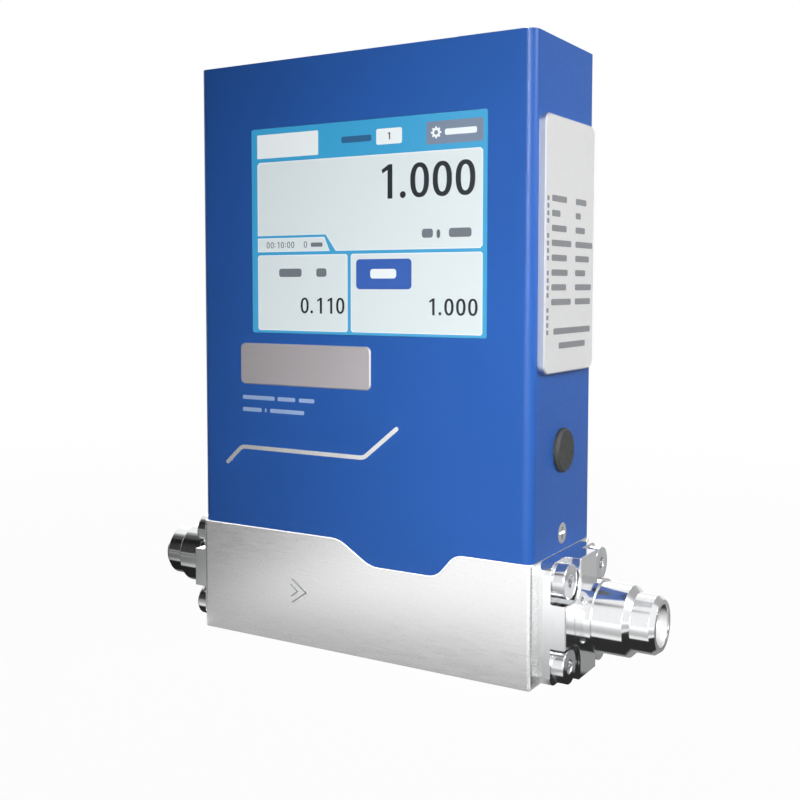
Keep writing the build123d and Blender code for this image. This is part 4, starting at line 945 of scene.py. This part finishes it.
def shade_materials():
    """Colours of what the display shows, of the print, and of the flow arrows' painted shade and
    highlight.
    """

    def lit(name, colour):
        return display_material(name, colour, 0.2, grain=60.0, vary=0.015)

    return {
        "white": lit("display_white", srgb(238, 245, 247)),
        "panel": lit("display_pale", srgb(221, 231, 233)),
        "grey": lit("display_grey", srgb(122, 138, 160)),
        "button": lit("display_button", srgb(47, 93, 180)),
        "ink": lit("display_ink", srgb(26, 34, 42)),
        "soft_ink": lit("display_soft_ink", srgb(120, 128, 138)),
        "word_ink": lit("display_word_ink", srgb(110, 118, 126)),
        "blue_ink": lit("display_blue_ink", srgb(44, 98, 142)),
        "pale_print": plain("pale_print", srgb(156, 182, 222), 0.5, vary=0.03),
        "label_ink": plain("label_ink", srgb(128, 130, 134), 0.5, vary=0.05),
        # The flow arrows' painted shade and painted highlight.
        "engraved": brushed("engraved_shade_steel", srgb(150, 152, 154), 0.45, ALONG_X, relief=0.5),
        "arrow_highlight": plain("arrow_highlight", srgb(236, 236, 238), 0.5, metallic=0.3, vary=0.03),
    }


# --- Room ----------------------------------------------------------------------------------
# Directions are level. A fade holds where it begins and ends, and its values there: by how far
# a ray points in the direction, or by its height.
ROOM_LIGHT = 0.08  # the share of the room's light that matte surfaces get
DARK_SIDE = (-0.86, -0.5, 0)
DARK_SIDE_FADE = (0.84, 0.95, 1.0, 0.3)
DARK_SIDE_CORE_FADE = (0.955, 0.985, 1.0, 0.3)
SHADED_BACK = (0.55, 0.83, 0)
SHADED_BACK_FADE = (0.8, 0.97, 1.0, 0.45)
# A dark screen at the front left, above the horizon.
SCREEN = (-0.69, -0.72, 0)
SCREEN_SIDE_FADE = (0.95, 0.985, 0.0, 1.0)
SCREEN_FOOT_FADE = (-0.02, 0.08, 0.0, 1.0)
SCREEN_LEVEL = 0.15
CEILING_FADE = (0.72, 0.88, 0.0, 1.0)


def dark_side(graph, compass):
    """The studio's darker side, front left, as polished metal shows it."""
    facing = graph.toward(compass, DARK_SIDE)
    return graph.product(
        graph.fade(facing, *DARK_SIDE_FADE), graph.fade(facing, *DARK_SIDE_CORE_FADE)
    )


def room_level(graph, way):
    """How bright the room is in each direction, as polished metal shows it."""
    compass = graph.level_way(way)
    height = graph.axes(way)[2]
    shaded_back = graph.fade(graph.toward(compass, SHADED_BACK), *SHADED_BACK_FADE)
    walls = graph.product(dark_side(graph, compass), shaded_back)
    screen = graph.product(
        graph.fade(graph.toward(compass, SCREEN), *SCREEN_SIDE_FADE),
        graph.fade(height, *SCREEN_FOOT_FADE),
    )
    walls = graph.product(walls, graph.fade(screen, 0.0, 1.0, 1.0, SCREEN_LEVEL))
    return graph.math("MAXIMUM", walls, graph.fade(height, *CEILING_FADE))


def make_world():
    """A pale studio: white to the camera, and to metal a white room with darker places."""
    world = bpy.data.worlds.new("studio")
    bpy.context.scene.world = world
    world.use_nodes = True
    world.node_tree.nodes.clear()
    world.cycles.sampling_method = "NONE"
    graph = Graph(world.node_tree)
    path = graph.add("ShaderNodeLightPath")
    way = graph.add("ShaderNodeTexCoord").outputs["Generated"]
    share = graph.remap(graph.shiny_rays(path), 0.0, 1.0, ROOM_LIGHT, 1.0)
    room = graph.add("ShaderNodeBackground")
    room.inputs["Color"].default_value = WHITE
    graph.link(graph.product(room_level(graph, way), share), room.inputs["Strength"])
    white = graph.add("ShaderNodeBackground")
    white.inputs["Color"].default_value = WHITE
    output = graph.add("ShaderNodeOutputWorld")
    chosen = graph.choose(path.outputs["Is Camera Ray"], room, white)
    graph.link(chosen.outputs[0], output.inputs["Surface"])


# --- Floor ---------------------------------------------------------------------------------
FLOOR_HALF = 3.0
FLOOR_DROP = 0.0002
FLOOR_GREY = (0.6, 0.6, 0.6, 1)
# A fade holds where it begins and ends, in metres, and its values there.
SEEN_FADE = (0.05, 0.5, 0.97, 1.0)  # by distance from the block: how white the camera sees it
# The others are how bright metal shows it, with painted shadow and light. In front of and behind the
# block, by distance, a painted shadow near it:
FRONT_SHADOW_FADE = (0.0, 0.08, 0.5, 1.2)
# Past the block's ends: how far that counts, by distance past the end and to the front or back,
# then a painted shadow under the fittings, by y, and painted light beyond their middle, by y and past the
# end.
PAST_END_FADE = (0.0, 0.004, 0.0, 1.0)
PAST_FRONT_FADE = (0.0, 0.01, 1.0, 0.0)
UNDER_SHADOW_FADE = (-0.0185, -0.0165, 1.0, 0.03)
BEYOND_FADE = (-0.001, 0.003, 0.0, 0.28)
BEYOND_END_FADE = (0.004, 0.007, 0.0, 1.0)
# Painted shade behind the outlet, by y and by x: the brighter of the two counts.
BEHIND_SHADE_FADE = (0.016, 0.034, 1.0, 0.4)
BEHIND_REACH_FADE = (0.03, 0.06, 1.0, 0.0)
# Painted shade on the left, by x. Further out the direction counts instead, by distance from the block.
LEFT_SHADE_FADE = (-0.11, -0.04, 0.25, 1.0)
FAR_FADE = (0.1, 0.25, 0.0, 1.0)


def floor_levels(graph, point):
    """How white the floor is to the camera, and how bright polished metal shows it, with its painted
    shadows.
    """
    x, y, _ = graph.axes(point)
    half_length, half_depth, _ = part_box("base_block")[1]
    past_end = graph.math("SUBTRACT", graph.absolute(x), half_length)
    past_front = graph.math(
        "MAXIMUM", graph.math("SUBTRACT", graph.absolute(y), half_depth), 0.0
    )
    beside = graph.math("MAXIMUM", past_end, 0.0)
    squares = [graph.math("POWER", reach, 2.0) for reach in (beside, past_front)]
    distance = graph.math("SQRT", graph.math("ADD", *squares))
    beyond = graph.product(graph.fade(y, *BEYOND_FADE), graph.fade(past_end, *BEYOND_END_FADE))
    near_painted_shadow = graph.mix_plain(
        graph.product(
            graph.fade(past_end, *PAST_END_FADE), graph.fade(past_front, *PAST_FRONT_FADE)
        ),
        graph.fade(past_front, *FRONT_SHADOW_FADE),
        graph.math("ADD", graph.fade(y, *UNDER_SHADOW_FADE), beyond),
    )
    behind = graph.math(
        "MAXIMUM", graph.fade(y, *BEHIND_SHADE_FADE), graph.fade(x, *BEHIND_REACH_FADE)
    )
    left = graph.mix_plain(
        graph.fade(distance, *FAR_FADE),
        graph.fade(x, *LEFT_SHADE_FADE),
        dark_side(graph, graph.level_way(point)),
    )
    # Painted shadow and light of the floor, as metal shows them.
    mirrored_painted_shade = graph.product(graph.product(near_painted_shadow, left), behind)
    return graph.fade(distance, *SEEN_FADE), mirrored_painted_shade


def floor_material():
    """Matte grey that takes the shadow, white to the camera, and to metal a glow with painted shadow and
    light.
    """
    made = bpy.data.materials.new("floor")
    made.use_nodes = True
    made.node_tree.nodes.clear()
    graph = Graph(made.node_tree)
    path = graph.add("ShaderNodeLightPath")
    point = graph.add("ShaderNodeTexCoord").outputs["Object"]
    seen, mirrored_painted_shade = floor_levels(graph, point)
    matte = graph.add("ShaderNodeBsdfDiffuse")
    matte.inputs["Color"].default_value = FLOOR_GREY
    glow = graph.add("ShaderNodeEmission")
    # What metal shows: a glow with painted shadow and light.
    reflected = graph.add("ShaderNodeEmission")
    graph.link(mirrored_painted_shade, reflected.inputs["Strength"])
    direct = graph.choose(graph.product(path.outputs["Is Camera Ray"], seen), matte, glow)
    chosen = graph.choose(graph.shiny_rays(path), direct, reflected)
    output = graph.add("ShaderNodeOutputMaterial")
    graph.link(chosen.outputs[0], output.inputs["Surface"])
    return made


def make_floor():
    mesh = bpy.data.meshes.new("floor")
    corners = [
        (-FLOOR_HALF, -FLOOR_HALF, 0),
        (FLOOR_HALF, -FLOOR_HALF, 0),
        (FLOOR_HALF, FLOOR_HALF, 0),
        (-FLOOR_HALF, FLOOR_HALF, 0),
    ]
    mesh.from_pydata(corners, [], [(0, 1, 2, 3)])
    mesh.materials.append(floor_material())
    floor = bpy.data.objects.new("floor", mesh)
    floor.location = (0, 0, -FLOOR_DROP)
    bpy.context.scene.collection.objects.link(floor)


# --- Lamps ---------------------------------------------------------------------------------
# Place and target, width and height, power in watts, and spread in degrees.
LAMPS = {
    "key": ((0.27, -0.6, 0.26), (0.09, -0.02, 0.085), (0.22, 0.22), 0.235, 26),
    "end": ((0.6, 0.1, 0.36), (0.05, 0, 0.14), (0.2, 0.2), 0.12, 30),
    "strip": ((0.40, -0.50, 0.15), (0.05, -0.02, 0.09), (0.3, 0.5), 1.0, 180),
    "back": ((-0.6, 0.8, 0.6), (0, 0, 0.08), (0.7, 0.7), 3.6, 180),
}
ONLY_MIRRORED = ("strip",)


def make_lights():
    """Soft lamps; those that are only mirrored don't light matte surfaces."""
    for name, (place, target, size, power, spread) in LAMPS.items():
        data = bpy.data.lights.new(name, "AREA")
        data.shape = "RECTANGLE"
        data.size, data.size_y = size
        data.energy = power
        data.spread = math.radians(spread)
        lamp = bpy.data.objects.new(name, data)
        lamp.location = place
        lamp.rotation_mode = "QUATERNION"
        lamp.rotation_quaternion = (Vector(target) - Vector(place)).to_track_quat("-Z", "Y")
        lamp.visible_diffuse = name not in ONLY_MIRRORED
        bpy.context.scene.collection.objects.link(lamp)


make_camera()
dress_frame(slot_materials())
shades = shade_materials()
make_display(shades)
make_front_print(shades)
make_label_print(shades)
make_flow_arrows(shades)
make_edge_highlight_bead()
make_bore_light_and_shade()
make_flexing_spring()
make_world()
make_floor()
make_lights()

bpy.context.scene.view_settings.view_transform = "Standard"
